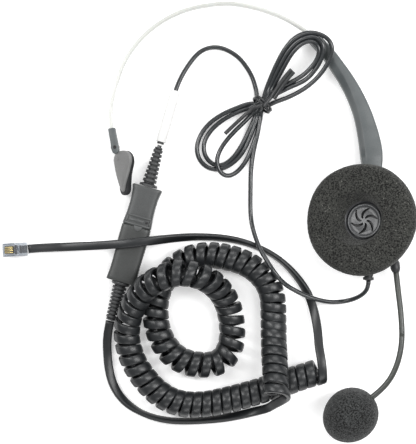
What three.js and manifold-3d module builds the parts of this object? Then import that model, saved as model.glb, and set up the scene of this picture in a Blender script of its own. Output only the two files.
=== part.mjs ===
// Corded office headset, laid flat on a table: T-pad headband strip, sabre arm,
// swivelling ear capsule with a boom microphone, headset cable tied in a hank,
// quick disconnect, curly desk cord and modular plug.
// Units are millimetres, +Z up, the table top is z = 0.
import * as THREE from 'three';
import { mergeVertices } from 'three/addons/utils/BufferGeometryUtils.js';
import Module from 'manifold-3d';

const wasm = await Module();
wasm.setup();

// ---------------------------------------------------------------- dimensions
const SHIFT = [29.25, 0.4];     // layout centre to part origin
const CABLE_D = 2.6;            // headset cable
const LEAD_W = 5.4, LEAD_T = 2.8;   // flat desk cord
const COIL_D = 15.2;            // curly cord, outside
const STRIP_T = 1.1, STRIP_Z0 = 1.2, STRIP_Z1 = 8.8;
const SLIDE_C = [11.71, 50.39], SLIDE_R = 72.223;   // circle that the strip slides on
const SLOT_W = 1.9;
const SHELL_SPLIT = 5.0, GAP = 0.3;
const CAP_O = [88.0, 0.45, 15.3];     // ear capsule centre
const CAP_W = [-0.3584, 0.1219, 0.9256];   // direction the cushion faces
const CUSHION_R = 31.5, HOUSING_R = 28.5;
const PIVOT_U = 2.0, PIVOT_V = 33.5, PIVOT_W = -3.6;
const QD_O = [-34.06, 19.84], QD_ANGLE = -0.27459;
const QD_Z0 = 0.3, QD_Z1 = 9.9;

// headset cable from the gland to the tied hank
const CABLE_A = [
  [89.73, -33.9, 16.75], [89.56, -36.27, 16.2], [88.86, -38.49, 14.2], [86.93, -40.88, 11], [83.57, -43.09, 7.2], [79.07, -44.7, 4.4],
  [73.8, -45.42, 3.6], [68.6, -45.36, 4.8], [62.76, -44.1, 7.2], [57.01, -42.33, 8.8], [50.74, -39.47, 9.8], [45.02, -36.19, 11.4],
  [40.18, -31.98, 14], [35.98, -26.34, 15], [32.91, -21.34, 13.2], [29.97, -16.5, 10.6], [27.81, -11.42, 7.6], [25.98, -5.67, 4.4],
  [24.62, 0.57, 2.2], [24.13, 7.97, 1.5], [24.18, 17.64, 1.5], [24.47, 29.59, 1.5], [26.18, 41.54, 1.5], [28.32, 50.62, 2],
  [29.67, 55.41, 2.6], [30.84, 59.3, 3.2],
];
// headset cable from the hank to the quick disconnect
const CABLE_B = [
  [27.79, 72.85, 2.8], [27.35, 75.33, 2.3], [26.57, 77.93, 1.8], [25.27, 82.23, 1.5], [23.33, 85.93, 1.5], [21.05, 89.34, 1.5],
  [18.55, 92.47, 1.5], [15.36, 95.26, 1.5], [11.95, 97.31, 1.5], [8.25, 98.9, 1.5], [4.27, 99.58, 1.5], [0, 99.01, 1.5],
  [-3.13, 97.76, 1.5], [-5.97, 95.59, 1.6], [-8.82, 92.44, 1.8], [-11.26, 89.01, 2], [-13.31, 85.86, 2.2], [-15.18, 82.42, 2.5],
  [-16.76, 78.98, 2.8], [-17.95, 76, 3.1], [-18.43, 74.29, 3.2], [-20.19, 68.13, 3.6], [-22.15, 61.28, 4.05], [-24.1, 54.45, 4.5],
  [-26.06, 47.62, 4.95], [-26.86, 44.89, 5.1], [-27.6, 42.56, 5.1],
];
// flat cord from the quick disconnect to the curly cord
const LEAD_A = [
  [-55.49, -56.17, 5], [-56.32, -60.01, 4.4], [-57.13, -64.73, 3.4], [-57.25, -72.21, 2.3], [-56.69, -80.74, 2.2], [-55.01, -89.22, 2.7],
  [-51.98, -96.01, 3], [-47.83, -101.39, 3.1], [-42.6, -105.65, 3.1], [-36.35, -108.95, 3.1], [-28.97, -111.45, 3.1], [-21.02, -112.81, 3.1],
  [-12.5, -113.15, 3.1], [-3.41, -112.7, 3.1], [5.68, -111.89, 3.2], [14.77, -110.41, 3.2], [23.84, -108.18, 3.8], [30.57, -106.33, 6],
  [36.07, -104.5, 10], [40.39, -102.78, 14.2], [43.87, -100.6, 17.5],
];
// axis of the curly cord
const COIL = [
  [37.89, -96.05, 25.4], [37.76, -91.06, 23.3], [37.56, -85.25, 20.2], [37.36, -79.41, 17], [37.17, -72.99, 13.5], [37.06, -67.03, 10.6],
  [37.03, -60.97, 8.6], [37.01, -54.25, 7.8], [36.84, -46.9, 7.8], [35.71, -39.55, 7.8], [32.15, -32.21, 7.8], [26.28, -26.56, 7.8],
  [18.65, -22.32, 7.8], [9.61, -19.78, 7.8], [1.13, -18.76, 7.8], [-6.78, -19.66, 7.8], [-13.84, -22.38, 7.8], [-19.78, -26.56, 7.8],
  [-24.58, -32.21, 7.8], [-27.91, -38.99, 7.8], [-29.5, -46.33, 7.8], [-29.5, -54.25, 7.8], [-27.69, -62.72, 7.8], [-24.02, -70.07, 7.8],
  [-18.65, -75.83, 7.8], [-11.87, -79.33, 7.8], [-4.52, -80.58, 7.8], [2.83, -80.24, 7.8], [8.76, -77.07, 7.8], [12.43, -70.92, 7.8],
  [13.67, -63.85, 7.8], [13.33, -56.49, 8], [11.96, -49.07, 9.4], [8.99, -41.87, 12.6], [4.19, -35.79, 17], [-1.67, -31.5, 21.2],
  [-8.32, -29.19, 23.8], [-15.25, -28.39, 24.4], [-22.19, -29.62, 24.2], [-28.9, -32.68, 22.4], [-34.93, -37.16, 19], [-39.68, -43.33, 15],
  [-43.32, -50.36, 11.6], [-45.42, -58.11, 9.2], [-45.65, -66.1, 8], [-43.74, -74.31, 7.8], [-40.12, -82.22, 7.8], [-34.47, -90.13, 7.8],
  [-27.41, -96.96, 7.8], [-18.93, -101.48, 7.8], [-9.61, -103.18, 7.8], [0, -102.73, 7.8], [9.61, -100.81, 7.8], [19.21, -98.32, 7.8],
  [28.25, -95.72, 7.8], [36.73, -93.01, 7.8], [45.2, -90.18, 7.8], [53.12, -87.47, 7.8], [59.61, -85.44, 7.8],
];
// flat cord from the curly cord to the plug
const TAIL_B = [
  [64.51, -91.11, 6.5], [63.75, -87.29, 10.8], [63.04, -82.59, 12.9], [62.59, -76.41, 12.9], [62.43, -69.8, 11.2], [62.1, -62.67, 8.6],
  [61.05, -54.93, 5.8], [59.04, -46.55, 3.6], [55.67, -38.63, 3], [50.56, -31.25, 3], [44.03, -24.09, 3], [36.07, -18.18, 3],
  [27.27, -13.86, 3], [17.61, -10.68, 3], [7.39, -8.98, 3], [-2.84, -8.4, 3.4], [-12.47, -8.61, 5.2], [-21.45, -9.37, 8.7],
  [-29.82, -10.35, 11.5], [-36.54, -11.13, 12.5], [-43.27, -11.8, 12.7], [-50.05, -12.37, 12.1], [-57.5, -12.97, 9.9], [-65.61, -13.46, 7],
  [-74.29, -13.84, 4.6], [-82.91, -14.2, 3.4], [-91.34, -14.52, 4.2], [-97.47, -14.85, 5.2], [-101.79, -15.24, 5.6],
];
// arm stations: centre x, y, width, ridge fraction, bottom, top, bevel drop
const ARM = [
  [57.79, 105.75, 6.55, 0.5, 0, 10.2, 1], [60.28, 103.6, 6.72, 0.5, 0, 10.2, 1], [62.54, 101.23, 6.88, 0.5, 0, 10.2, 1.1], [66.78, 96.46, 7.05, 0.5, 0.1, 10.3, 1.3], [69.93, 92.55, 7.34, 0.49, 0.3, 10.4, 1.5], [72.8, 88.4, 7.67, 0.48, 0.6, 10.5, 1.8],
  [78.08, 80.51, 8.24, 0.42, 1, 10.8, 3], [83.13, 71.27, 8.92, 0.33, 1.6, 11.1, 3.8], [87.37, 60.96, 9.93, 0.28, 2.2, 11.4, 4], [90.26, 50.32, 11.4, 0.23, 2.8, 11.7, 4], [91.92, 41.17, 12.3, 0.2, 3.3, 11.9, 4], [92.35, 36.08, 12.08, 0.2, 3.5, 12, 3.8],
  [92.57, 31.85, 11.06, 0.2, 3.6, 12, 3.4], [92.69, 30.33, 10.38, 0.22, 3.7, 11.9, 3.2],
];
// middle line of the headband strip, from inside the arm to the temple stem
const BAND = [
  [65.13, 98.99], [63.22, 101.01], [60.97, 103.21], [58.62, 105.3], [56.18, 107.3], [53.65, 109.18],
  [51.05, 110.96], [48.37, 112.62], [45.62, 114.16], [42.8, 115.57], [39.93, 116.87], [37, 118.04],
  [34.03, 119.07], [32.14, 119.83], [26.07, 121.53], [20.07, 122.83], [14.74, 123.57], [9.64, 123.8],
  [4.82, 123.46], [0, 122.78], [-5.67, 121.87], [-10.49, 120.62], [-15.3, 119.03], [-20.52, 116.65],
  [-25.56, 113.82], [-30.61, 110.42], [-35.2, 106.56], [-38.66, 103.11], [-41.61, 99.37], [-44.67, 95.11],
  [-47.27, 90.52], [-49.54, 85.42], [-51.24, 80.09], [-52.72, 75.73], [-53.68, 71.25], [-54.53, 67.28],
  [-54.93, 63.2], [-55.04, 58.95], [-54.87, 54.7], [-54.47, 51.3],
];
// boom axis from the boot to the microphone
const BOOM = [
  [105.02, -25.23, 14.69], [105.63, -30.8, 15.65], [106.46, -39.59, 17.13], [107.36, -48.01, 18.48], [107.85, -55.21, 19.52], [108.07, -63.12, 20.43],
  [107.31, -70.97, 21.17], [104.94, -80.12, 21.45], [100.32, -89.08, 20.95], [93.42, -96.27, 19.33], [88.53, -100.21, 18.06], [84.18, -104.03, 16.89],
];
// outline of the upper loops of the hank
const UPPER = [
  [34.57, 66.32], [30.05, 70.84], [33.9, 82.48], [38.98, 92.65], [44.63, 100.56], [50.84, 105.36],
  [58.19, 107.9], [64.4, 107.05], [69.2, 102.82], [70.5, 97.17], [68.64, 90.39], [63.84, 83.61],
  [56.49, 76.83], [46.89, 70.62], [38.42, 67.34],
];
// outline of the lower loops of the hank
const LOWER = [
  [24.54, 67.04], [30, 61.47], [28.18, 59.08], [25.91, 52.83], [23.06, 42.32], [19.77, 34.65],
  [15.91, 28.69], [11.93, 25.28], [7.95, 25.68], [4.26, 28.69], [-1.14, 29.26], [-5.4, 33.52],
  [-7.61, 39.77], [-7.1, 47.15], [-2.95, 55.39], [4.83, 61.64], [14.77, 66.18],
];
// label sleeve ends
const SLEEVE = [
  [-18.4, 74.41, 3.1], [-26.27, 46.88, 5],
];
// sleeve ring ends
const RING = [
  [-26.47, 46.14, 5.05], [-26.92, 44.66, 5.1],
];


// ------------------------------------------------------------------ helpers
const V3 = (a) => new THREE.Vector3(a[0], a[1], a[2] ?? 0);
const rad = (d) => d * Math.PI / 180;
const root = new THREE.Group();

const MAT = {
  strip: new THREE.MeshStandardMaterial({ color: 0xd9dad8, roughness: 0.35, metalness: 0.8 }),
  grey: new THREE.MeshStandardMaterial({ color: 0x6d7274, roughness: 0.5, metalness: 0.0 }),
  light: new THREE.MeshStandardMaterial({ color: 0xb4b6b4, roughness: 0.5, metalness: 0.0 }),
  dark: new THREE.MeshStandardMaterial({ color: 0x303334, roughness: 0.6, metalness: 0.0 }),
  black: new THREE.MeshStandardMaterial({ color: 0x17181a, roughness: 0.35, metalness: 0.0 }),
  foam: new THREE.MeshStandardMaterial({ color: 0x2b2c2d, roughness: 0.95, metalness: 0.0 }),
  cable: new THREE.MeshStandardMaterial({ color: 0x3c3e40, roughness: 0.45, metalness: 0.0 }),
  steel: new THREE.MeshStandardMaterial({ color: 0x9a9c9e, roughness: 0.35, metalness: 0.9 }),
  gold: new THREE.MeshStandardMaterial({ color: 0xc9a24a, roughness: 0.3, metalness: 0.9 }),
  white: new THREE.MeshStandardMaterial({ color: 0xf0f0ee, roughness: 0.6, metalness: 0.0 }),
  clear: new THREE.MeshStandardMaterial({ color: 0x777c7e, roughness: 0.15, metalness: 0.0, transparent: true, opacity: 0.5 }),
  board: new THREE.MeshStandardMaterial({ color: 0x2f6b3f, roughness: 0.5, metalness: 0.0 }),
};

function toManifold(geometry) {
  let g = geometry.clone();
  g.deleteAttribute('normal');
  g.deleteAttribute('uv');
  g = mergeVertices(g, 1e-4);
  return new wasm.Manifold(new wasm.Mesh({
    numProp: 3,
    vertProperties: new Float32Array(g.attributes.position.array),
    triVerts: new Uint32Array(g.index.array),
  }));
}
function toGeometry(solid) {
  const m = solid.getMesh();
  const g = new THREE.BufferGeometry();
  g.setAttribute('position', new THREE.BufferAttribute(new Float32Array(m.vertProperties), 3));
  g.setIndex(new THREE.BufferAttribute(new Uint32Array(m.triVerts), 1));
  g.computeVertexNormals();
  return g;
}
function add(parent, name, shape, material) {
  const geometry = shape.isBufferGeometry ? shape : toGeometry(shape);
  const mesh = new THREE.Mesh(geometry, material);
  mesh.name = name;
  parent.add(mesh);
  return mesh;
}
// closed body through equal rings of points (arrays of Vector3)
function skin(rings, closed = false) {
  const n = rings[0].length, m = rings.length, pos = [], idx = [];
  for (const r of rings) for (const p of r) pos.push(p.x, p.y, p.z);
  const last = closed ? m : m - 1;
  for (let i = 0; i < last; i++) {
    const a = i * n, b = ((i + 1) % m) * n;
    for (let j = 0; j < n; j++) {
      const k = (j + 1) % n;
      idx.push(a + j, a + k, b + k, a + j, b + k, b + j);
    }
  }
  if (!closed) {
    for (const [base, flip] of [[0, true], [(m - 1) * n, false]]) {
      const c = new THREE.Vector3();
      const ring = rings[base / n];
      ring.forEach((p) => c.add(p));
      c.divideScalar(n);
      const ci = pos.length / 3;
      pos.push(c.x, c.y, c.z);
      for (let j = 0; j < n; j++) {
        const k = (j + 1) % n;
        if (flip) idx.push(ci, base + k, base + j); else idx.push(ci, base + j, base + k);
      }
    }
  }
  let vol = 0;
  const P = (i) => new THREE.Vector3(pos[3 * i], pos[3 * i + 1], pos[3 * i + 2]);
  for (let t = 0; t < idx.length; t += 3) {
    const A = P(idx[t]), B = P(idx[t + 1]), C = P(idx[t + 2]);
    vol += A.dot(B.cross(C)) / 6;
  }
  if (vol < 0) for (let t = 0; t < idx.length; t += 3) [idx[t + 1], idx[t + 2]] = [idx[t + 2], idx[t + 1]];
  const g = new THREE.BufferGeometry();
  g.setAttribute('position', new THREE.Float32BufferAttribute(pos, 3));
  g.setIndex(idx);
  g.computeVertexNormals();
  return g;
}
// profile of [radius, height] pairs turned about +Z
function turned(profile, segments = 32) {
  const g = new THREE.LatheGeometry(profile.map(([r, z]) => new THREE.Vector2(r, z)), segments);
  g.rotateX(Math.PI / 2);
  return g;
}
// the same, as a solid facing outwards, whichever way the profile runs
function turnedSolid(profile, segments = 32) {
  const g = turned(profile, segments);
  const s = toManifold(g);
  if (s.volume() > 0) return s;
  return toManifold(turned([...profile].reverse(), segments));
}
const cyl = (r, z0, z1, seg = 20) => {
  const g = new THREE.CylinderGeometry(r, r, z1 - z0, seg);
  g.rotateX(Math.PI / 2);
  g.translate(0, 0, (z0 + z1) / 2);
  return g;
};
const box = (x0, x1, y0, y1, z0, z1) => {
  const g = new THREE.BoxGeometry(x1 - x0, y1 - y0, z1 - z0);
  g.translate((x0 + x1) / 2, (y0 + y1) / 2, (z0 + z1) / 2);
  return g;
};
// a cylinder along +Y between y0 and y1
const rod = (r, x, z, y0, y1, seg = 16) => {
  const g = new THREE.CylinderGeometry(r, r, y1 - y0, seg);
  g.translate(x, (y0 + y1) / 2, z);
  return g;
};
const rodX = (r, y, z, x0, x1, seg = 16) => {
  const g = new THREE.CylinderGeometry(r, r, x1 - x0, seg);
  g.rotateZ(Math.PI / 2);
  g.translate((x0 + x1) / 2, y, z);
  return g;
};
const spline = (pts) => new THREE.CatmullRomCurve3(pts.map(V3), false, 'centripetal');
function ngon(rx, ry, sides, turn = 0) {
  const s = new THREE.Shape();
  for (let i = 0; i < sides; i++) {
    const a = turn + (i / sides) * Math.PI * 2;
    const x = rx * Math.cos(a), y = ry * Math.sin(a);
    if (i) s.lineTo(x, y); else s.moveTo(x, y);
  }
  s.closePath();
  return s;
}
function tube(pts, shape, steps) {
  return new THREE.ExtrudeGeometry(shape, { steps, extrudePath: spline(pts), bevelEnabled: false });
}
// a flat cord: x of the section across its thickness, y across its width; roll 0 lies flat, 90 stands on edge
function ribbon(pts, rolls, shape, steps) {
  const curve = spline(pts);
  curve.computeFrenetFrames = (segments) => {
    const tangents = [], normals = [], binormals = [], up = new THREE.Vector3(0, 0, 1);
    for (let i = 0; i <= segments; i++) {
      const u = i / segments, t = curve.getTangentAt(u);
      const side = new THREE.Vector3().crossVectors(up, t).normalize();
      const top = new THREE.Vector3().crossVectors(t, side);
      const k = u * (rolls.length - 1), a = Math.min(rolls.length - 2, Math.floor(k));
      const roll = rad(rolls[a] + (rolls[a + 1] - rolls[a]) * (k - a));
      const n = top.clone().multiplyScalar(Math.cos(roll)).addScaledVector(side, Math.sin(roll));
      tangents.push(t); normals.push(n); binormals.push(new THREE.Vector3().crossVectors(t, n));
    }
    return { tangents, normals, binormals };
  };
  return new THREE.ExtrudeGeometry(shape, { steps, extrudePath: curve, bevelEnabled: false });
}
function outline(pts) {
  const s = new THREE.Shape();
  pts.forEach((p, i) => (i ? s.lineTo(p[0], p[1]) : s.moveTo(p[0], p[1])));
  s.closePath();
  return s;
}

// ------------------------------------------------------------- ear capsule
const W = V3(CAP_W).normalize();
const U = new THREE.Vector3(W.z, 0, -W.x).normalize();
const Vv = new THREE.Vector3().crossVectors(W, U).normalize();
const capsuleMatrix = new THREE.Matrix4().makeBasis(U, Vv, W).setPosition(V3(CAP_O));
const capsule = new THREE.Group();
capsule.applyMatrix4(capsuleMatrix);
root.add(capsule);

const rearProfile = [[3.3, -8], [19.5, -8], [23.6, -6.2], [26.8, -3.4], [28.5, -0.6], [28.5, 0],
  [26.4, 0], [26.2, -1.0], [24.6, -2.8], [21.8, -4.8], [18.6, -6.3], [3.3, -6.3], [3.3, -8]];
let rear = turnedSolid(rearProfile, 36);
const lugTop = toManifold(box(PIVOT_U - 4, PIVOT_U + 4, 20.5, 29.4, -6.8, -0.5));
const bossLow = toManifold(box(PIVOT_U - 4, PIVOT_U + 4, -28.9, -21.4, -6.8, -0.5));
rear = rear.add(lugTop).add(bossLow);
rear = rear.subtract(toManifold(rod(1.85, PIVOT_U, PIVOT_W, 20, 31, 18)));
rear = rear.subtract(toManifold(rod(2.6, PIVOT_U, PIVOT_W, 17, 23.6, 18)));
rear = rear.subtract(toManifold(rod(2.3, PIVOT_U, PIVOT_W, -31, -20, 20)));
for (const [x, y] of [[-11.3, 11.3], [-11.3, -11.3]]) {
  const h = cyl(1.3, -9, -4, 12); h.translate(x, y, 0);
  const seat = cyl(2.3, -9, -7.3, 14); seat.translate(x, y, 0);
  rear = rear.subtract(toManifold(h)).subtract(toManifold(seat));
}
add(capsule, 'ear_rear_shell', rear, MAT.grey);

let baffle = turnedSolid([[10.2, 0.3], [28.5, 0.3], [28.5, 2.4], [10.2, 2.4], [10.2, 0.3]], 36);
add(capsule, 'baffle_ring', baffle, MAT.dark);

let grille = toManifold(cyl(9.8, 0.5, 2.1, 40));
for (let i = 0; i < 6; i++) {
  const a0 = rad(60 * i + 20);
  const inner = [], outer = [];
  for (let k = 0; k <= 5; k++) {
    const t = k / 5, r = 1.9 + 4.9 * t, a = a0 + rad(58 * t);
    const hw = 0.35 + 0.75 * Math.sin(Math.PI * Math.min(1, 0.15 + 0.8 * t));
    const nx = Math.cos(a + rad(100)), ny = Math.sin(a + rad(100));
    const cx = r * Math.cos(a), cy = r * Math.sin(a);
    outer.push([cx + nx * hw, cy + ny * hw]);
    inner.push([cx - nx * hw, cy - ny * hw]);
  }
  const g = new THREE.ExtrudeGeometry(outline([...inner, ...outer.reverse()]), { depth: 3, bevelEnabled: false });
  g.translate(0, 0, 0);
  grille = grille.subtract(toManifold(g));
}
add(capsule, 'speaker_grille', grille, MAT.black);

add(capsule, 'ear_cushion', turnedSolid([[11, 2.8], [29.4, 2.8], [31.1, 4.8], [CUSHION_R, 7.6], [31.2, 10.2], [29.6, 12.6],
  [26.4, 14.0], [19.5, 14.0], [15.4, 13.0], [12.6, 10.4], [11, 6.4], [11, 2.8]], 40), MAT.foam);
add(capsule, 'speaker_basket', turnedSolid([[0, -2.6], [16.5, -2.6], [18.4, -1.4], [18.4, -0.1], [0, -0.1]], 32), MAT.black);
add(capsule, 'speaker_magnet', cyl(8.2, -4.3, -2.9, 28), MAT.steel);
const board = toManifold(box(-5.0, 9.0, -20.8, -19.1, -3.4, -0.6));
add(capsule, 'terminal_board', board, MAT.board);

// cable gland, along the swivel axis at the low rim
const glandG = turned([[0, 0.9], [1.95, 0.9], [1.95, 6.2], [3.1, 6.2], [3.1, 7.3], [2.2, 10.3], [0, 10.3]], 20);
glandG.rotateX(Math.PI / 2);           // +Z to -Y
glandG.translate(PIVOT_U, -23.0, PIVOT_W);
add(capsule, 'cable_gland', toManifold(glandG).volume() > 0 ? toManifold(glandG) : toManifold(flip(glandG)), MAT.dark);
function flip(g) {
  const i = g.index;
  for (let t = 0; t < i.count; t += 3) { const a = i.getX(t); i.setX(t, i.getX(t + 1)); i.setX(t + 1, a); }
  return g;
}
for (const [k, [x, y]] of [[-11.3, 11.3], [-11.3, -11.3]].entries()) {
  const g = turnedSolid([[0, -8.0], [1.95, -8.0], [1.95, -7.6], [0.95, -7.6], [0.95, -4.7], [0, -4.7]], 14);
  add(capsule, `housing_screw_${k + 1}`, g.translate([x, y, 0]), MAT.steel);
}

// boom turret on the back of the capsule, with its radial arm to the boot
const BOOT = [15.17, -22.14, -9.79];
const bootA = Math.atan2(BOOT[1], BOOT[0]), bootR = Math.hypot(BOOT[0], BOOT[1]);
let turret = turnedSolid([[9.6, -11.3], [12, -10.2], [12, -8.5], [2.9, -8.5], [2.9, -5.6], [1.3, -5.6], [1.3, -10.1], [2.4, -10.1], [2.4, -11.3], [9.6, -11.3]], 32);
const armBar = new THREE.ExtrudeGeometry(outline([[9, -4.2], [bootR - 5, -3.0], [bootR - 2.0, -2.4], [bootR - 2.0, 2.4], [bootR - 5, 3.0], [9, 4.2]]), { depth: 2.4, bevelEnabled: false });
armBar.translate(0, 0, -11.0);
armBar.rotateZ(bootA);
turret = turret.add(toManifold(armBar));
add(capsule, 'boom_turret', turret, MAT.grey);
add(capsule, 'turret_washer', turnedSolid([[1.3, -5.3], [5.2, -5.3], [5.2, -4.7], [1.3, -4.7], [1.3, -5.3]], 20), MAT.steel);
add(capsule, 'turret_screw', turnedSolid([[0, -11.1], [2.0, -11.1], [2.0, -10.4], [0.95, -10.4], [0.95, -4.8], [0, -4.8]], 16), MAT.steel);


// swivel link: eye on the tilt pin, shaft into the capsule, collar inside
let link = toManifold(rodX(3.0, PIVOT_V, PIVOT_W, PIVOT_U - 2.2, PIVOT_U + 2.2, 24));
link = link.add(toManifold(rod(1.5, PIVOT_U, PIVOT_W, 21.9, PIVOT_V - 1.6, 18)));
link = link.add(toManifold(rod(2.25, PIVOT_U, PIVOT_W, 21.8, 23.2, 18)));
link = link.subtract(toManifold(rodX(1.35, PIVOT_V, PIVOT_W, PIVOT_U - 3, PIVOT_U + 3, 16)));
add(capsule, 'swivel_link', link, MAT.steel);
add(capsule, 'tilt_pin', rodX(1.1, PIVOT_V, PIVOT_W, PIVOT_U - 4.0, PIVOT_U + 4.0, 16), MAT.steel);

// --------------------------------------------------------------------- arm
// stations along the arm: centre x, y, width, ridge fraction, z0, z1, bevel drop
function armRings(inset = 0) {
  const n = ARM.length, rings = [];
  for (let i = 0; i < n; i++) {
    const [x, y, w0, f, z0, z1, drop] = ARM[i];
    const a = ARM[Math.max(0, i - 1)], b = ARM[Math.min(n - 1, i + 1)];
    const tx = b[0] - a[0], ty = b[1] - a[1], l = Math.hypot(tx, ty);
    const nx = -ty / l, ny = tx / l;            // towards the outer edge
    const h = w0 / 2 - inset, lo = z0 + inset, hi = z1 - inset;
    const prof = inset ? [[h, lo + 0.6], [h, hi - 1.2], [h - 0.8, hi], [-h + 2 * h * f, hi - 0.8], [-h, hi - drop], [-h, lo + 0.6], [-h + 0.6, lo], [h - 0.6, lo]]
      : [[h, lo + 0.8], [h, hi - 1.3], [h - 0.5, hi - 0.35], [h - 1.4, hi], [-h + 2 * h * f, hi], [-h + 2 * h * f * 0.5, hi - drop * 0.62], [-h, hi - drop - 0.3], [-h, lo + 0.8], [-h + 0.8, lo], [h - 0.8, lo]];
    rings.push(prof.map(([u, z]) => new THREE.Vector3(x + nx * u, y + ny * u, z)));
  }
  return rings;
}
// the outer edge lies on the far side from the slide circle's centre
{
  const [x0, y0] = ARM[0], [x1, y1] = ARM[1];
  const nx = -(y1 - y0), ny = x1 - x0;
  if (nx * (x0 - SLIDE_C[0]) + ny * (y0 - SLIDE_C[1]) < 0) for (const s of ARM) s.flip = true;
}
function armRingsOut(inset) {
  const rings = armRings(inset);
  if (!ARM[0].flip) return rings;
  return rings.map((ring, i) => ring.map((p) => new THREE.Vector3(2 * ARM[i][0] - p.x, 2 * ARM[i][1] - p.y, p.z)));
}
let armBody = toManifold(skin(armRingsOut(0)));
// slot that the strip slides in, an arc about the slide centre
function arcBar(r0, r1, t0, t1, z0, z1, steps) {
  const rings = [];
  for (let i = 0; i <= steps; i++) {
    const t = rad(t0 + (t1 - t0) * i / steps);
    const c = [Math.sin(t), Math.cos(t)];
    rings.push([[r0, z0], [r1, z0], [r1, z1], [r0, z1]].map(([r, z]) => new THREE.Vector3(SLIDE_C[0] + r * c[0], SLIDE_C[1] + r * c[1], z)));
  }
  return skin(rings);
}
armBody = armBody.subtract(toManifold(arcBar(SLIDE_R - SLOT_W / 2, SLIDE_R + SLOT_W / 2, 36, 59.5, STRIP_Z0 - 0.3, STRIP_Z1 + 0.3, 14)));
armBody = armBody.subtract(toManifold(arcBar(SLIDE_R, SLIDE_R + SLOT_W / 2 + 1.1, 46.5, 54.5, 2.6, 7.4, 8)));
// hollow in the wide part
{
  const all = armRingsOut(1.7);
  armBody = armBody.subtract(toManifold(skin(all.slice(6, 10))));
}
// slot for the link, open underneath and at the end, with the cheeks drilled for the pin
const inCap = (g) => { const c = g.clone(); c.applyMatrix4(capsuleMatrix); return c; };
armBody = armBody.subtract(toManifold(inCap(box(PIVOT_U - 2.6, PIVOT_U + 2.6, 28, PIVOT_V + 3.9, PIVOT_W - 12, PIVOT_W + 3.4))));
armBody = armBody.subtract(toManifold(inCap(rodX(1.4, PIVOT_V, PIVOT_W, PIVOT_U - 4.3, PIVOT_U + 4.3, 16))));
armBody = armBody.subtract(toManifold(inCap(box(PIVOT_U - 14, PIVOT_U + 14, 20, PIVOT_V - 2.9, PIVOT_W - 14, PIVOT_W + 14))));
const screwsArm = [6, 8].map((i) => [ARM[i][0], ARM[i][1], ARM[i][4]]);
let armLow = armBody.intersect(toManifold(box(-200, 200, -200, 200, -5, SHELL_SPLIT - GAP / 2)));
let armHigh = armBody.intersect(toManifold(box(-200, 200, -200, 200, SHELL_SPLIT + GAP / 2, 30)));
screwsArm.forEach(([x, y, z0], i) => {
  const boss = cyl(2.1, z0 + 0.2, SHELL_SPLIT - GAP / 2, 14); boss.translate(x, y, 0);
  if (i === 0) armLow = armLow.add(toManifold(boss));
  const up = cyl(2.1, SHELL_SPLIT + GAP / 2, 9.4, 14); up.translate(x, y, 0);
  if (i === 0) armHigh = armHigh.add(toManifold(up));
  const head = cyl(1.9, z0 - 1, z0 + 1.5, 14); head.translate(x, y, 0);
  const hole = cyl(1.15, z0, 8.4, 12); hole.translate(x, y, 0);
  armLow = armLow.subtract(toManifold(head)).subtract(toManifold(hole));
  armHigh = armHigh.subtract(toManifold(hole));
  const s = turnedSolid([[0, z0 + 0.3], [1.6, z0 + 0.3], [1.6, z0 + 1.2], [0.85, z0 + 1.2], [0.85, 8.0], [0, 8.0]], 12);
  add(root, `arm_screw_${i + 1}`, s.translate([x, y, 0]), MAT.steel);
});
add(root, 'arm_top_shell', armHigh, MAT.grey);
add(root, 'arm_bottom_shell', armLow, MAT.grey);
// leaf that grips the strip
{
  const rings = [];
  for (let i = 0; i <= 6; i++) {
    const t = rad(47 + 7 * i / 6), b = 0.55 * Math.sin(Math.PI * i / 6);
    const r0 = SLIDE_R + SLOT_W / 2 + 0.45 - b * 0.35, r1 = r0 + 0.4;
    rings.push([[r0, 3.0], [r1, 3.0], [r1, 7.0], [r0, 7.0]].map(([r, z]) => new THREE.Vector3(SLIDE_C[0] + r * Math.sin(t), SLIDE_C[1] + r * Math.cos(t), z)));
  }
  add(root, 'band_detent_spring', skin(rings), MAT.steel);
}

// ---------------------------------------------------------------- headband
{
  const rings = [];
  const n = BAND.length;
  for (let i = 0; i < n; i++) {
    const a = BAND[Math.max(0, i - 1)], b = BAND[Math.min(n - 1, i + 1)];
    const tx = b[0] - a[0], ty = b[1] - a[1], l = Math.hypot(tx, ty), nx = -ty / l, ny = tx / l;
    const h = STRIP_T / 2;
    rings.push([[h, STRIP_Z0], [h, STRIP_Z1], [-h, STRIP_Z1], [-h, STRIP_Z0]].map(([u, z]) => new THREE.Vector3(BAND[i][0] + nx * u, BAND[i][1] + ny * u, z)));
  }
  add(root, 'headband_strip', skin(rings), MAT.strip);
}
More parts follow.
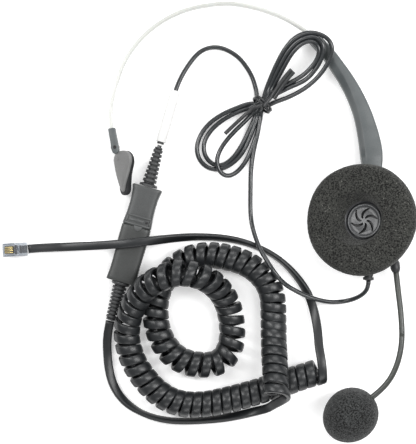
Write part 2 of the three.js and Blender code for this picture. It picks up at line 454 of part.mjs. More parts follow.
// temple rest: stem with a fork, leaf plate on a neck, soft pad
const RIVET = [-52.6, 42.23], STEM_TOP = [-54.7, 53.85], PAD_C = [-47.85, 27.93, 9.0];
const stemDir = new THREE.Vector2(RIVET[0] - STEM_TOP[0], RIVET[1] - STEM_TOP[1]);
const stemLen = stemDir.length();
const stemGroup = new THREE.Group();
stemGroup.position.set(RIVET[0], RIVET[1], 0);
stemGroup.rotation.z = Math.atan2(stemDir.y, stemDir.x) + Math.PI / 2;   // local -Y runs towards the pad
root.add(stemGroup);
{
  const w = 1.95;
  const s = outline([[-w, stemLen + 1.2], [-w, 1.6], [-w - 0.2, 0], [-w + 0.1, -2.1], [-0.8, -2.9], [0.8, -2.9], [w - 0.1, -2.1], [w + 0.2, 0], [w, 1.6], [w, stemLen + 1.2], [w - 0.5, stemLen + 1.8], [-w + 0.5, stemLen + 1.8]]);
  let stem = toManifold(new THREE.ExtrudeGeometry(s, { depth: 9.5, bevelEnabled: false }).translate(0, 0, 0));
  stem = stem.subtract(toManifold(box(-3, 3, -4, 3.6, 3.2, 6.9)));
  const hole = cyl(1.05, -1, 12, 12);
  stem = stem.subtract(toManifold(hole));
  // pocket for the strip, cut as the strip's own outline grown by the gap
  const rings = [];
  const inv = new THREE.Matrix4();
  stemGroup.updateMatrixWorld(true);
  inv.copy(stemGroup.matrixWorld).invert();
  const n = BAND.length;
  for (let i = n - 4; i < n; i++) {
    const a = BAND[Math.max(0, i - 1)], b = BAND[Math.min(n - 1, i + 1)];
    const tx = b[0] - a[0], ty = b[1] - a[1], l = Math.hypot(tx, ty), nx = -ty / l, ny = tx / l;
    const h = STRIP_T / 2 + GAP, ex = i === n - 1 ? 0.4 : 0;
    rings.push([[h, STRIP_Z0 - GAP], [h, STRIP_Z1 + GAP - 0.0], [-h, STRIP_Z1 + GAP - 0.0], [-h, STRIP_Z0 - GAP]].map(([u, z]) => new THREE.Vector3(BAND[i][0] + nx * u + tx / l * ex, BAND[i][1] + ny * u + ty / l * ex, z).applyMatrix4(inv)));
  }
  stem = stem.subtract(toManifold(skin(rings)));
  add(stemGroup, 'temple_stem', stem, MAT.grey);
  add(stemGroup, 'temple_rivet', turnedSolid([[0, 0.7], [0.75, 0.7], [0.75, 9.7], [1.35, 9.7], [1.1, 10.1], [0, 10.1]], 14), MAT.steel);
}
// leaf frame: x across the leaf (tilted up to the right), y along it, z its outer side
const padTilt = rad(-50);
const padGroup = new THREE.Group();
padGroup.position.set(PAD_C[0], PAD_C[1], PAD_C[2]);
padGroup.rotation.set(0, padTilt, rad(4), 'ZYX');
root.add(padGroup);
const LEAF = [[3.5, 12.2], [7.0, 11.0], [9.2, 8.6], [9.0, 5.6], [7.4, 2.4], [5.9, -0.6], [3.8, -4], [2.0, -7.1], [0.8, -10.0], [0, -10.9], [-0.9, -10.2], [-2.6, -7.1], [-4.0, -3.5], [-5.1, 0], [-5.8, 4], [-6.1, 8.2], [-3.5, 11.3]].reverse();
const PAD = [[3, 12], [6, 9.5], [6.5, 6], [5.0, 2], [3.7, -2.2], [2.7, -5.5], [1.7, -8.4], [0.9, -11.4], [-0.2, -12.6], [-2.2, -12.8], [-4.2, -11.6], [-5, -8], [-5.4, -2], [-5.8, 4], [-5.4, 8.6], [-2.4, 11.4]].reverse();
const shrink = (pts, k) => pts.map(([x, y]) => { const r = Math.hypot(x, y); return [x * (1 - k / r), y * (1 - k / r)]; });
{
  // neck: eye in the fork, bar down to the plate
  padGroup.updateMatrixWorld(true);
  const inv = new THREE.Matrix4().copy(padGroup.matrixWorld).invert();
  let plate = toManifold(new THREE.ExtrudeGeometry(outline(LEAF), { depth: 1.8, bevelEnabled: false }));
  const eye = cyl(2.5, 3.55, 6.55, 18); eye.translate(RIVET[0], RIVET[1], 0);
  const tip = new THREE.Vector3(-1.5, 7.5, 0.9).applyMatrix4(padGroup.matrixWorld);
  const rings = [];
  for (let i = 0; i <= 4; i++) {
    const t = i / 4;
    const x = RIVET[0] + (tip.x - RIVET[0]) * t, y = RIVET[1] + (tip.y - RIVET[1]) * t, z = 5.05 + (tip.z - 5.05) * Math.max(0, (t - 0.5) / 0.5);
    rings.push([[-1.6, -1.5], [1.6, -1.5], [1.6, 1.5], [-1.6, 1.5]].map(([u, v]) => new THREE.Vector3(x + u, y, z + v)));
  }
  let neck = toManifold(eye).add(toManifold(skin(rings)));
  const pin = cyl(1.05, -1, 12, 12); pin.translate(RIVET[0], RIVET[1], 0);
  neck = neck.subtract(toManifold(pin));
  const m = inv.elements;
  neck = neck.transform([...m]);
  plate = plate.add(neck.subtract(toManifold(box(-20, 20, -20, 20, -20, 0.05))));
  add(padGroup, 'temple_plate', plate, MAT.light);
  const pad = skin([0, 1, 2, 3, 4].map((i) => {
    const z = [-0.35, -0.9, -2.6, -3.8, -4.3][i], k = [0.4, 0.0, -0.1, 0.6, 2.0][i];
    return shrink(PAD, k).map(([x, y]) => new THREE.Vector3(x, y, z));
  }));
  add(padGroup, 'temple_pad', pad, MAT.dark);
}

// ------------------------------------------------------------ boom and mic
const BOOM_D = 3.3, BEND_I = 5;
{
  const dir = V3(BOOM[1]).sub(V3(BOOM[0])).normalize();
  const q = new THREE.Quaternion().setFromUnitVectors(new THREE.Vector3(0, 0, 1), dir);
  const boot = turnedSolid([[0, -3.4], [2.2, -3.4], [2.65, -2.4], [2.65, 1.2], [2.2, 2.6], [0, 2.6]], 18);
  const b = add(root, 'boom_boot', boot, MAT.dark);
  b.quaternion.copy(q); b.position.copy(V3(BOOM[0]));
  const bend = V3(BOOM[BEND_I]);
  const low = [V3(BOOM[0]).addScaledVector(dir, 2.9), ...BOOM.slice(1, BEND_I).map(V3)];
  const t1 = V3(BOOM[BEND_I + 1]).sub(V3(BOOM[BEND_I - 1])).normalize();
  low.push(bend.clone().addScaledVector(t1, -0.5));
  add(root, 'boom_tube_lower', tube(low.map((p) => p.toArray()), ngon(BOOM_D / 2, BOOM_D / 2, 10), 14), MAT.cable);
  const up = [bend.clone().addScaledVector(t1, 0.5), ...BOOM.slice(BEND_I + 1, BOOM.length - 1).map(V3)];
  const endDir = V3(BOOM[BOOM.length - 1]).sub(V3(BOOM[BOOM.length - 2])).normalize();
  add(root, 'boom_tube_upper', tube(up.map((p) => p.toArray()), ngon(BOOM_D / 2, BOOM_D / 2, 10), 14), MAT.cable);
  // microphone, its axis running on from the boom's end
  const MIC = [79.31, -108.66, 15.61];
  const head = V3(BOOM[BOOM.length - 2]);
  const axis = V3(MIC).sub(head).normalize();
  const mg = new THREE.Group();
  mg.position.copy(V3(MIC));
  mg.quaternion.setFromUnitVectors(new THREE.Vector3(0, 0, 1), axis);
  root.add(mg);
  const d = -V3(MIC).distanceTo(head);     // tube's end in the mic's own frame
  add(mg, 'mic_housing', turnedSolid([[0, d + 0.3], [3.0, d + 0.3], [4.6, d + 2.4], [4.6, 4.6], [3.9, 4.6], [3.9, -1.6], [0, -1.6], [0, d + 0.3]], 20), MAT.dark);
  add(mg, 'mic_element', cyl(3.5, -1.2, 3.8, 20), MAT.steel);
  const foam = [[4.95, -14.6]];
  for (let i = 1; i <= 12; i++) {
    const a = rad(-72 + (162 * i) / 12);
    foam.push([15.0 * Math.cos(a) * (1 - 0.04 * Math.sin(a)), 15.6 * Math.sin(a)]);
  }
  foam[foam.length - 1] = [0, 15.6];
  foam.push([0, 5.0], [4.95, 5.0], [4.95, -14.6]);
  add(mg, 'mic_windscreen', turnedSolid(foam, 24), MAT.foam);
}

// ------------------------------------------------------------------- cords
add(root, 'headset_cable_a', tube(CABLE_A, ngon(CABLE_D / 2, CABLE_D / 2, 8), 44), MAT.cable);
add(root, 'headset_cable_b', tube(CABLE_B, ngon(CABLE_D / 2, CABLE_D / 2, 8), 36), MAT.cable);
// tied hank: waist, tie, and the outer shape of the loops on each side
const KNOT = [29.99, 66.56];
const hank = new THREE.Group();
hank.position.set(KNOT[0], KNOT[1], 0);
hank.rotation.z = Math.atan2(0.72, 0.69) - Math.PI / 2;     // local +Y runs up along the hank
root.add(hank);
add(hank, 'hank_waist', new THREE.ExtrudeGeometry(outline([[-3.9, -2.9], [3.9, -2.9], [3.9, 2.9], [-3.9, 2.9]]), { depth: 4.2, bevelEnabled: false }).translate(0, 0, 1.1), MAT.cable);
{
  const s = outline([[-4.9, 0.3], [4.9, 0.3], [5.2, 0.9], [5.2, 5.5], [4.6, 6.2], [-4.6, 6.2], [-5.2, 5.5], [-5.2, 0.9]]);
  s.holes.push(new THREE.Path([[-4.25, 0.8], [-4.25, 5.6], [4.25, 5.6], [4.25, 0.8]].map(([x, y]) => new THREE.Vector2(x, y))));
  const g = new THREE.ExtrudeGeometry(s, { depth: 2.2, bevelEnabled: false });
  g.rotateX(Math.PI / 2); g.translate(0, 1.1, 0);
  add(hank, 'twist_tie', g, MAT.dark);
}
hank.updateMatrixWorld(true);
const toHank = new THREE.Matrix4().copy(hank.matrixWorld).invert();
const inHank = (pts) => pts.map(([x, y]) => { const p = new THREE.Vector3(x, y, 0).applyMatrix4(toHank); return [p.x, p.y]; });
{
  const pts = inHank(UPPER);
  const y0 = Math.min(...pts.map((p) => p[1]));
  const tilt = rad(14.2), g = new THREE.ExtrudeGeometry(outline(pts.map(([x, y]) => [x, (y - y0) / Math.cos(tilt)])), { depth: 3.2, bevelEnabled: false });
  g.rotateX(tilt); g.translate(0, Math.max(y0, 3.2) + 0.85, 1.2);
  add(hank, 'hank_upper', g, MAT.cable);
  const low = inHank(LOWER).map(([x, y]) => [x, Math.min(y, -3.2)]);
  const g2 = new THREE.ExtrudeGeometry(outline(low), { depth: 4.4, bevelEnabled: false });
  g2.translate(0, 0, 0.3);
  add(hank, 'hank_lower', g2, MAT.cable);
}
// label sleeve on the cable above the quick disconnect, and its end ring
function sleeve(name, from, to, rx, ry, hole, material) {
  const s = ngon(rx, ry, 16);
  const h = new THREE.Path();
  for (let i = 0; i < 12; i++) {
    const a = -(i / 12) * Math.PI * 2;
    if (i) h.lineTo(hole * Math.cos(a), hole * Math.sin(a)); else h.moveTo(hole * Math.cos(a), hole * Math.sin(a));
  }
  h.closePath();
  s.holes.push(h);
  const d = V3(to).sub(V3(from)), len = d.length();
  const g = new THREE.ExtrudeGeometry(s, { depth: len, bevelEnabled: false });
  const z = d.clone().normalize(), x = new THREE.Vector3(z.y, -z.x, 0).normalize(), y = new THREE.Vector3().crossVectors(z, x);
  g.applyMatrix4(new THREE.Matrix4().makeBasis(x, y, z).setPosition(V3(from)));
  add(root, name, g, material);
}
sleeve('label_sleeve', SLEEVE[0], SLEEVE[1], 2.9, 2.3, 1.75, MAT.white);
sleeve('sleeve_end_ring', RING[0], RING[1], 1.75 + 0.6, 1.75 + 0.6, 1.75, MAT.black);

// quick disconnect, local +Y towards the headset side
const qd = new THREE.Group();
qd.position.set(QD_O[0], QD_O[1], 0);
qd.rotation.z = QD_ANGLE;
root.add(qd);
const QDC = (QD_Z0 + QD_Z1) / 2;
function qdBody(prof) {
  const pts = [...prof.map(([s, h]) => [h, -s]), ...prof.map(([s, h]) => [-h, -s]).reverse()];
  const zs = [[QD_Z0, 1.3], [QD_Z0 + 0.9, 0.25], [QD_Z0 + 2.2, 0], [QD_Z1 - 2.2, 0], [QD_Z1 - 0.9, 0.25], [QD_Z1, 1.3]];
  return skin(zs.map(([z, k]) => pts.map(([x, y]) => new THREE.Vector3(x - Math.sign(x) * k, y, z))));
}
const upperProf = [[0, 8.5], [2.2, 8.3], [6, 7.75], [11, 7.55], [16, 7.7], [20, 8.1], [23.2, 8.4]];
const lowerProf = [[23.6, 8.4], [30, 8.45], [38, 8.3], [45, 8.15], [51, 8.3], [55.9, 8.6]];
const halves = (solid) => [solid.intersect(toManifold(box(-20, 20, -70, 10, QDC + 0.15, 20))), solid.intersect(toManifold(box(-20, 20, -70, 10, -5, QDC - 0.15)))];
let qu = toManifold(qdBody(upperProf)).subtract(toManifold(box(-5.3, 5.3, -24, -2.6, 2.2, 8.0)));
let ql = toManifold(qdBody(lowerProf)).subtract(toManifold(box(-5.3, 5.3, -36.0, -23, 2.2, 8.0)));
const [quTop, quLow] = halves(qu), [qlTop, qlLow] = halves(ql);
add(qd, 'qd_upper_top', quTop, MAT.grey);
add(qd, 'qd_upper_bottom', quLow, MAT.grey);
add(qd, 'qd_upper_contacts', box(-4.9, 4.9, -15.4, -3.0, 2.6, 7.6), MAT.black);
add(qd, 'qd_lower_top', qlTop, MAT.grey);
add(qd, 'qd_lower_bottom', qlLow, MAT.grey);
add(qd, 'qd_lower_tongue', box(-4.9, 4.9, -35.6, -16.0, 2.6, 7.6), MAT.black);
{
  const r1 = turned([[0, 0], [4.4, 0], [4.4, 1.2], [3.3, 1.8], [2.1, 23.1], [0, 23.1]], 20);
  r1.rotateX(-Math.PI / 2);          // +Z to +Y
  r1.translate(0, 0.3, QDC);
  let m = toManifold(r1); if (m.volume() < 0) m = toManifold(flip(r1));
  add(qd, 'qd_upper_relief', m, MAT.dark);
  const r2 = turned([[0, 0], [4.4, 0], [4.4, 1.2], [3.6, 1.8], [2.6, 22.2], [0, 22.2]], 20);
  r2.rotateX(Math.PI / 2);
  r2.translate(0, -56.2, QDC);
  m = toManifold(r2); if (m.volume() < 0) m = toManifold(flip(r2));
  add(qd, 'qd_lower_relief', m, MAT.dark);
}
const flat = (() => {
  const a = LEAD_T / 2, b = LEAD_W / 2;        // x is across the thickness, y across the width
  return outline([[a, -b + a], [a, b - a], [a * 0.6, b - 0.25], [-a * 0.6, b - 0.25], [-a, b - a], [-a, -b + a], [-a * 0.6, -b + 0.25], [a * 0.6, -b + 0.25]]);
})();
add(root, 'lead_a', ribbon(LEAD_A, [0, 0, 15, 40, 75, 72, 70, 60, 35, 10, 0], flat, 40), MAT.black);
add(root, 'coil_cord', tube(COIL, ngon(COIL_D / 2, COIL_D / 2, 12, Math.PI / 12), 62), MAT.black);
add(root, 'lead_b', ribbon(TAIL_B, [0, 0, 30, 55, 70, 70, 60, 55, 35, 5, 0, 0, 0, 0], flat, 52), MAT.black);

// modular plug, local +X towards the cable
const plug = new THREE.Group();
const PLUG_IN = [-101.79, -15.24, 5.6], PLUG_NOSE = [-115.95, -15.97, 5.6];
plug.position.set(PLUG_NOSE[0], PLUG_NOSE[1], 0);
plug.rotation.z = Math.atan2(PLUG_IN[1] - PLUG_NOSE[1], PLUG_IN[0] - PLUG_NOSE[0]);
root.add(plug);
const PLUG_L = Math.hypot(PLUG_IN[0] - PLUG_NOSE[0], PLUG_IN[1] - PLUG_NOSE[1]) - 0.4;
let pbody = toManifold(new THREE.ExtrudeGeometry(outline([[0, 3.1], [PLUG_L, 2.9], [PLUG_L, 8.1], [PLUG_L - 5.2, 8.1], [PLUG_L - 5.2, 9.0], [0, 9.0]]), { depth: 7.6, bevelEnabled: false }).rotateX(Math.PI / 2).translate(0, 3.8, 0));
for (const y of [-1.53, -0.51, 0.51, 1.53]) pbody = pbody.subtract(toManifold(box(-1, 6.6, y - 0.36, y + 0.36, 6.2, 12)));
add(plug, 'plug_body', pbody, MAT.clear);
[-1.53, -0.51, 0.51, 1.53].forEach((y, i) => add(plug, `plug_contact_${i + 1}`, box(1.0, 6.2, y - 0.17, y + 0.17, 6.5, 8.7), MAT.gold));
add(plug, 'plug_latch', new THREE.ExtrudeGeometry(outline([[0.2, 2.75], [0.2, 1.9], [3.4, 1.5], [PLUG_L - 0.4, 0.3], [PLUG_L - 0.4, 1.1], [3.4, 2.3]]), { depth: 3.4, bevelEnabled: false }).rotateX(Math.PI / 2).translate(0, 1.7, 0), MAT.clear);


// ------------------------------------------------------------------- result
root.position.set(-SHIFT[0], -SHIFT[1], 0);
export default root;
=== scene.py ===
# Corded office headset, laid flat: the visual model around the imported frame.
import math, random
import bpy, bmesh
import numpy as np
from mathutils import Vector, Matrix


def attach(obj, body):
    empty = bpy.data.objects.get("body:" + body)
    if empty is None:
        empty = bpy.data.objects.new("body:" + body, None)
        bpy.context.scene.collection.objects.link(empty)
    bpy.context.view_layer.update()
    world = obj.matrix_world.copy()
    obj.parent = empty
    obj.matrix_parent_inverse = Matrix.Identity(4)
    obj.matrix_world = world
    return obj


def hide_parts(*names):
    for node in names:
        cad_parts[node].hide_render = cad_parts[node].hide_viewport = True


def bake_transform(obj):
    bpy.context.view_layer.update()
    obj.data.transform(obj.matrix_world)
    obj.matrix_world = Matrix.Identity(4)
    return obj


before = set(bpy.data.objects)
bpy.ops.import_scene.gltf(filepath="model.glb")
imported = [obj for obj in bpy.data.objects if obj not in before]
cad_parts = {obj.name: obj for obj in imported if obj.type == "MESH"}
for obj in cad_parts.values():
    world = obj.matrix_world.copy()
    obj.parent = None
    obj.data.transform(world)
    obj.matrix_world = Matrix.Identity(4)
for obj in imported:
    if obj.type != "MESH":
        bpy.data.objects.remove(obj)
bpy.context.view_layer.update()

SX, SY = 29.25, 0.40
def M(p):
    """layout millimetres to row metres"""
    return Vector(((p[0] - SX) / 1000, (p[1] - SY) / 1000, p[2] / 1000))
S_PX, H_CAM = 0.57, 900.0
def P(px, py, z):
    k = S_PX * (1 - z / H_CAM)
    return [(px - 208) * k, (222 - py) * k, z]

CABLE_A = [[89.73, -33.9, 16.75], [89.56, -36.27, 16.2], [88.86, -38.49, 14.2], [86.93, -40.88, 11], [83.57, -43.09, 7.2], [79.07, -44.7, 4.4], [73.8, -45.42, 3.6], [68.6, -45.36, 4.8], [62.76, -44.1, 7.2], [57.01, -42.33, 8.8], [50.74, -39.47, 9.8], [45.02, -36.19, 11.4], [40.18, -31.98, 14], [35.98, -26.34, 15], [32.91, -21.34, 13.2], [29.97, -16.5, 10.6], [27.81, -11.42, 7.6], [25.98, -5.67, 4.4], [24.62, 0.57, 2.2], [24.13, 7.97, 1.5], [24.18, 17.64, 1.5], [24.47, 29.59, 1.5], [26.18, 41.54, 1.5], [28.32, 50.62, 2], [29.67, 55.41, 2.6], [30.84, 59.3, 3.2]]
CABLE_B = [[27.79, 72.85, 2.8], [27.35, 75.33, 2.3], [26.57, 77.93, 1.8], [25.27, 82.23, 1.5], [23.33, 85.93, 1.5], [21.05, 89.34, 1.5], [18.55, 92.47, 1.5], [15.36, 95.26, 1.5], [11.95, 97.31, 1.5], [8.25, 98.9, 1.5], [4.27, 99.58, 1.5], [0, 99.01, 1.5], [-3.13, 97.76, 1.5], [-5.97, 95.59, 1.6], [-8.82, 92.44, 1.8], [-11.26, 89.01, 2], [-13.31, 85.86, 2.2], [-15.18, 82.42, 2.5], [-16.76, 78.98, 2.8], [-17.95, 76, 3.1], [-18.43, 74.29, 3.2], [-20.19, 68.13, 3.6], [-22.15, 61.28, 4.05], [-24.1, 54.45, 4.5], [-26.06, 47.62, 4.95], [-26.86, 44.89, 5.1], [-27.6, 42.56, 5.1]]
LEAD_A = [[-55.49, -56.17, 5], [-56.32, -60.01, 4.4], [-57.13, -64.73, 3.4], [-57.25, -72.21, 2.3], [-56.69, -80.74, 2.2], [-55.01, -89.22, 2.7], [-51.98, -96.01, 3], [-47.83, -101.39, 3.1], [-42.6, -105.65, 3.1], [-36.35, -108.95, 3.1], [-28.97, -111.45, 3.1], [-21.02, -112.81, 3.1], [-12.5, -113.15, 3.1], [-3.41, -112.7, 3.1], [5.68, -111.89, 3.2], [14.77, -110.41, 3.2], [23.84, -108.18, 3.8], [30.57, -106.33, 6], [36.07, -104.5, 10], [40.39, -102.78, 14.2], [43.87, -100.6, 17.5]]
COIL = [[37.89, -96.05, 25.4], [37.76, -91.06, 23.3], [37.56, -85.25, 20.2], [37.36, -79.41, 17], [37.17, -72.99, 13.5], [37.06, -67.03, 10.6], [37.03, -60.97, 8.6], [37.01, -54.25, 7.8], [36.84, -46.9, 7.8], [35.71, -39.55, 7.8], [32.15, -32.21, 7.8], [26.28, -26.56, 7.8], [18.65, -22.32, 7.8], [9.61, -19.78, 7.8], [1.13, -18.76, 7.8], [-6.78, -19.66, 7.8], [-13.84, -22.38, 7.8], [-19.78, -26.56, 7.8], [-24.58, -32.21, 7.8], [-27.91, -38.99, 7.8], [-29.5, -46.33, 7.8], [-29.5, -54.25, 7.8], [-27.69, -62.72, 7.8], [-24.02, -70.07, 7.8], [-18.65, -75.83, 7.8], [-11.87, -79.33, 7.8], [-4.52, -80.58, 7.8], [2.83, -80.24, 7.8], [8.76, -77.07, 7.8], [12.43, -70.92, 7.8], [13.67, -63.85, 7.8], [13.33, -56.49, 8], [11.96, -49.07, 9.4], [8.99, -41.87, 12.6], [4.19, -35.79, 17], [-1.67, -31.5, 21.2], [-8.32, -29.19, 23.8], [-15.25, -28.39, 24.4], [-22.19, -29.62, 24.2], [-28.9, -32.68, 22.4], [-34.93, -37.16, 19], [-39.68, -43.33, 15], [-43.32, -50.36, 11.6], [-45.42, -58.11, 9.2], [-45.65, -66.1, 8], [-43.74, -74.31, 7.8], [-40.12, -82.22, 7.8], [-34.47, -90.13, 7.8], [-27.41, -96.96, 7.8], [-18.93, -101.48, 7.8], [-9.61, -103.18, 7.8], [0, -102.73, 7.8], [9.61, -100.81, 7.8], [19.21, -98.32, 7.8], [28.25, -95.72, 7.8], [36.73, -93.01, 7.8], [45.2, -90.18, 7.8], [53.12, -87.47, 7.8], [59.61, -85.44, 7.8]]
TAIL_B = [[64.51, -91.11, 6.5], [63.75, -87.29, 10.8], [63.04, -82.59, 12.9], [62.59, -76.41, 12.9], [62.43, -69.8, 11.2], [62.1, -62.67, 8.6], [61.05, -54.93, 5.8], [59.04, -46.55, 3.6], [55.67, -38.63, 3], [50.56, -31.25, 3], [44.03, -24.09, 3], [36.07, -18.18, 3], [27.27, -13.86, 3], [17.61, -10.68, 3], [7.39, -8.98, 3], [-2.84, -8.4, 3.4], [-12.47, -8.61, 5.2], [-21.45, -9.37, 8.7], [-29.82, -10.35, 11.5], [-36.54, -11.13, 12.5], [-43.27, -11.8, 12.7], [-50.05, -12.37, 12.1], [-57.5, -12.97, 9.9], [-65.61, -13.46, 7], [-74.29, -13.84, 4.6], [-82.91, -14.2, 3.4], [-91.34, -14.52, 4.2], [-97.47, -14.85, 5.2], [-101.79, -15.24, 5.6]]
ARM = [[57.79, 105.75, 6.55, 0.5, 0, 10.2, 1], [60.28, 103.6, 6.72, 0.5, 0, 10.2, 1], [62.54, 101.23, 6.88, 0.5, 0, 10.2, 1.1], [66.78, 96.46, 7.05, 0.5, 0.1, 10.3, 1.3], [69.93, 92.55, 7.34, 0.49, 0.3, 10.4, 1.5], [72.8, 88.4, 7.67, 0.48, 0.6, 10.5, 1.8], [78.08, 80.51, 8.24, 0.42, 1, 10.8, 3], [83.13, 71.27, 8.92, 0.33, 1.6, 11.1, 3.8], [87.37, 60.96, 9.93, 0.28, 2.2, 11.4, 4], [90.26, 50.32, 11.4, 0.23, 2.8, 11.7, 4], [91.92, 41.17, 12.3, 0.2, 3.3, 11.9, 4], [92.35, 36.08, 12.08, 0.2, 3.5, 12, 3.8], [92.57, 31.85, 11.06, 0.2, 3.6, 12, 3.4], [92.69, 30.33, 10.38, 0.22, 3.7, 11.9, 3.2]]
BAND = [[65.13, 98.99], [63.22, 101.01], [60.97, 103.21], [58.62, 105.3], [56.18, 107.3], [53.65, 109.18], [51.05, 110.96], [48.37, 112.62], [45.62, 114.16], [42.8, 115.57], [39.93, 116.87], [37, 118.04], [34.03, 119.07], [32.14, 119.83], [26.07, 121.53], [20.07, 122.83], [14.74, 123.57], [9.64, 123.8], [4.82, 123.46], [0, 122.78], [-5.67, 121.87], [-10.49, 120.62], [-15.3, 119.03], [-20.52, 116.65], [-25.56, 113.82], [-30.61, 110.42], [-35.2, 106.56], [-38.66, 103.11], [-41.61, 99.37], [-44.67, 95.11], [-47.27, 90.52], [-49.54, 85.42], [-51.24, 80.09], [-52.72, 75.73], [-53.68, 71.25], [-54.53, 67.28], [-54.93, 63.2], [-55.04, 58.95], [-54.87, 54.7], [-54.47, 51.3]]
BOOM = [[105.02, -25.23, 14.69], [105.63, -30.8, 15.65], [106.46, -39.59, 17.13], [107.36, -48.01, 18.48], [107.85, -55.21, 19.52], [108.07, -63.12, 20.43], [107.31, -70.97, 21.17], [104.94, -80.12, 21.45], [100.32, -89.08, 20.95], [93.42, -96.27, 19.33], [88.53, -100.21, 18.06], [84.18, -104.03, 16.89]]
SLEEVE = [[-18.4, 74.41, 3.1], [-26.27, 46.88, 5]]
RING = [[-26.47, 46.14, 5.05], [-26.92, 44.66, 5.1]]
CAP_O = [88.0, 0.45, 15.3]
CAP_W = [-0.3584, 0.1219, 0.9256]
QD_O = [-34.06, 19.84]
QD_ANGLE = -0.27459
RIVET = [-52.6, 42.23]
STEM_TOP = [-54.7, 53.85]
PAD_C = [-47.85, 27.93, 9.0]
MIC = [79.31, -108.66, 15.61]
BOOT = [15.17, -22.14, -9.79]

# ------------------------------------------------------------------ camera
cam_data = bpy.data.cameras.new("camera")
cam = bpy.data.objects.new("camera", cam_data)
bpy.context.scene.collection.objects.link(cam)
cam.location = (-SX / 1000, -SY / 1000, H_CAM / 1000)
cam.rotation_euler = (0, 0, 0)
cam_data.sensor_width = 36.0
cam_data.lens = 36.0 * H_CAM / (444 * S_PX)
cam_data.clip_start = 0.01
cam_data.clip_end = 20
bpy.context.scene.camera = cam

# --------------------------------------------------------------- materials
def node(nt, kind, **kw):
    n = nt.nodes.new(kind)
    for k, v in kw.items():
        if k in n.inputs.keys():
            n.inputs[k].default_value = v
        else:
            setattr(n, k, v)
    return n

def ramp(nt, fac, stops):
    r = nt.nodes.new("ShaderNodeValToRGB")
    e = r.color_ramp.elements
    e[0].position, e[0].color = stops[0][0], (*stops[0][1], 1)
    e[1].position, e[1].color = stops[-1][0], (*stops[-1][1], 1)
    for pos, col in stops[1:-1]:
        x = e.new(pos); x.color = (*col, 1)
    nt.links.new(fac, r.inputs["Fac"])
    return r.outputs["Color"]

def material(name, low, high, scale=900.0, rough=(0.4, 0.55), bump=0.15, bump_scale=None, metallic=0.0,
             coat=0.0, detail=3.0, edge=0.0, dist=0.00006, specular=0.5, wear=None, sub=0.0):
    m = bpy.data.materials.new(name)
    m.use_nodes = True
    nt = m.node_tree
    b = nt.nodes["Principled BSDF"]
    tc = nt.nodes.new("ShaderNodeTexCoord")
    n1 = node(nt, "ShaderNodeTexNoise", Scale=scale, Detail=detail, Roughness=0.6)
    nt.links.new(tc.outputs["Object"], n1.inputs["Vector"])
    big = node(nt, "ShaderNodeTexNoise", Scale=max(18.0, scale * 0.03), Detail=2.0, Roughness=0.5)
    nt.links.new(tc.outputs["Object"], big.inputs["Vector"])
    mx = node(nt, "ShaderNodeMath", operation="MULTIPLY_ADD")
    mx.inputs[1].default_value = 0.55
    nt.links.new(n1.outputs["Fac"], mx.inputs[0])
    mul = node(nt, "ShaderNodeMath", operation="MULTIPLY")
    mul.inputs[1].default_value = 0.45
    nt.links.new(big.outputs["Fac"], mul.inputs[0])
    nt.links.new(mul.outputs[0], mx.inputs[2])
    col = ramp(nt, mx.outputs[0], [(0.38, low), (0.62, high)])
    # edge: mixes towards a much lighter colour on convex edges (pointiness) - painted highlight along edges and bevels
    if edge > 0:
        g = nt.nodes.new("ShaderNodeNewGeometry")
        pr = node(nt, "ShaderNodeMapRange")
        pr.inputs["From Min"].default_value = 0.5
        pr.inputs["From Max"].default_value = 0.62
        pr.inputs["To Min"].default_value = 0.0
        pr.inputs["To Max"].default_value = edge
        nt.links.new(g.outputs["Pointiness"], pr.inputs["Value"])
        edge_highlight_mix = nt.nodes.new("ShaderNodeMix"); edge_highlight_mix.data_type = "RGBA"
        nt.links.new(pr.outputs["Result"], edge_highlight_mix.inputs["Factor"])
        nt.links.new(col, edge_highlight_mix.inputs["A"])
        edge_highlight_mix.inputs["B"].default_value = (*[min(1, c * 2.2 + 0.05) for c in high], 1)
        col = edge_highlight_mix.outputs["Result"]
    nt.links.new(col, b.inputs["Base Color"])
    rr = node(nt, "ShaderNodeMapRange")
    rr.inputs["To Min"].default_value, rr.inputs["To Max"].default_value = rough
    nt.links.new(big.outputs["Fac"], rr.inputs["Value"])
    nt.links.new(rr.outputs["Result"], b.inputs["Roughness"])
    b.inputs["Metallic"].default_value = metallic
    b.inputs["Specular IOR Level"].default_value = specular
    b.inputs["Coat Weight"].default_value = coat
    b.inputs["Coat Roughness"].default_value = 0.25
    if sub:
        b.inputs["Subsurface Weight"].default_value = sub
        b.inputs["Subsurface Radius"].default_value = (0.002, 0.002, 0.002)
    if bump > 0:
        bp = node(nt, "ShaderNodeBump", Strength=bump, Distance=dist)
        if bump_scale:
            n2 = node(nt, "ShaderNodeTexNoise", Scale=bump_scale, Detail=4.0, Roughness=0.65)
            nt.links.new(tc.outputs["Object"], n2.inputs["Vector"])
            nt.links.new(n2.outputs["Fac"], bp.inputs["Height"])
        else:
            nt.links.new(n1.outputs["Fac"], bp.inputs["Height"])
        nt.links.new(bp.outputs["Normal"], b.inputs["Normal"])
    return m

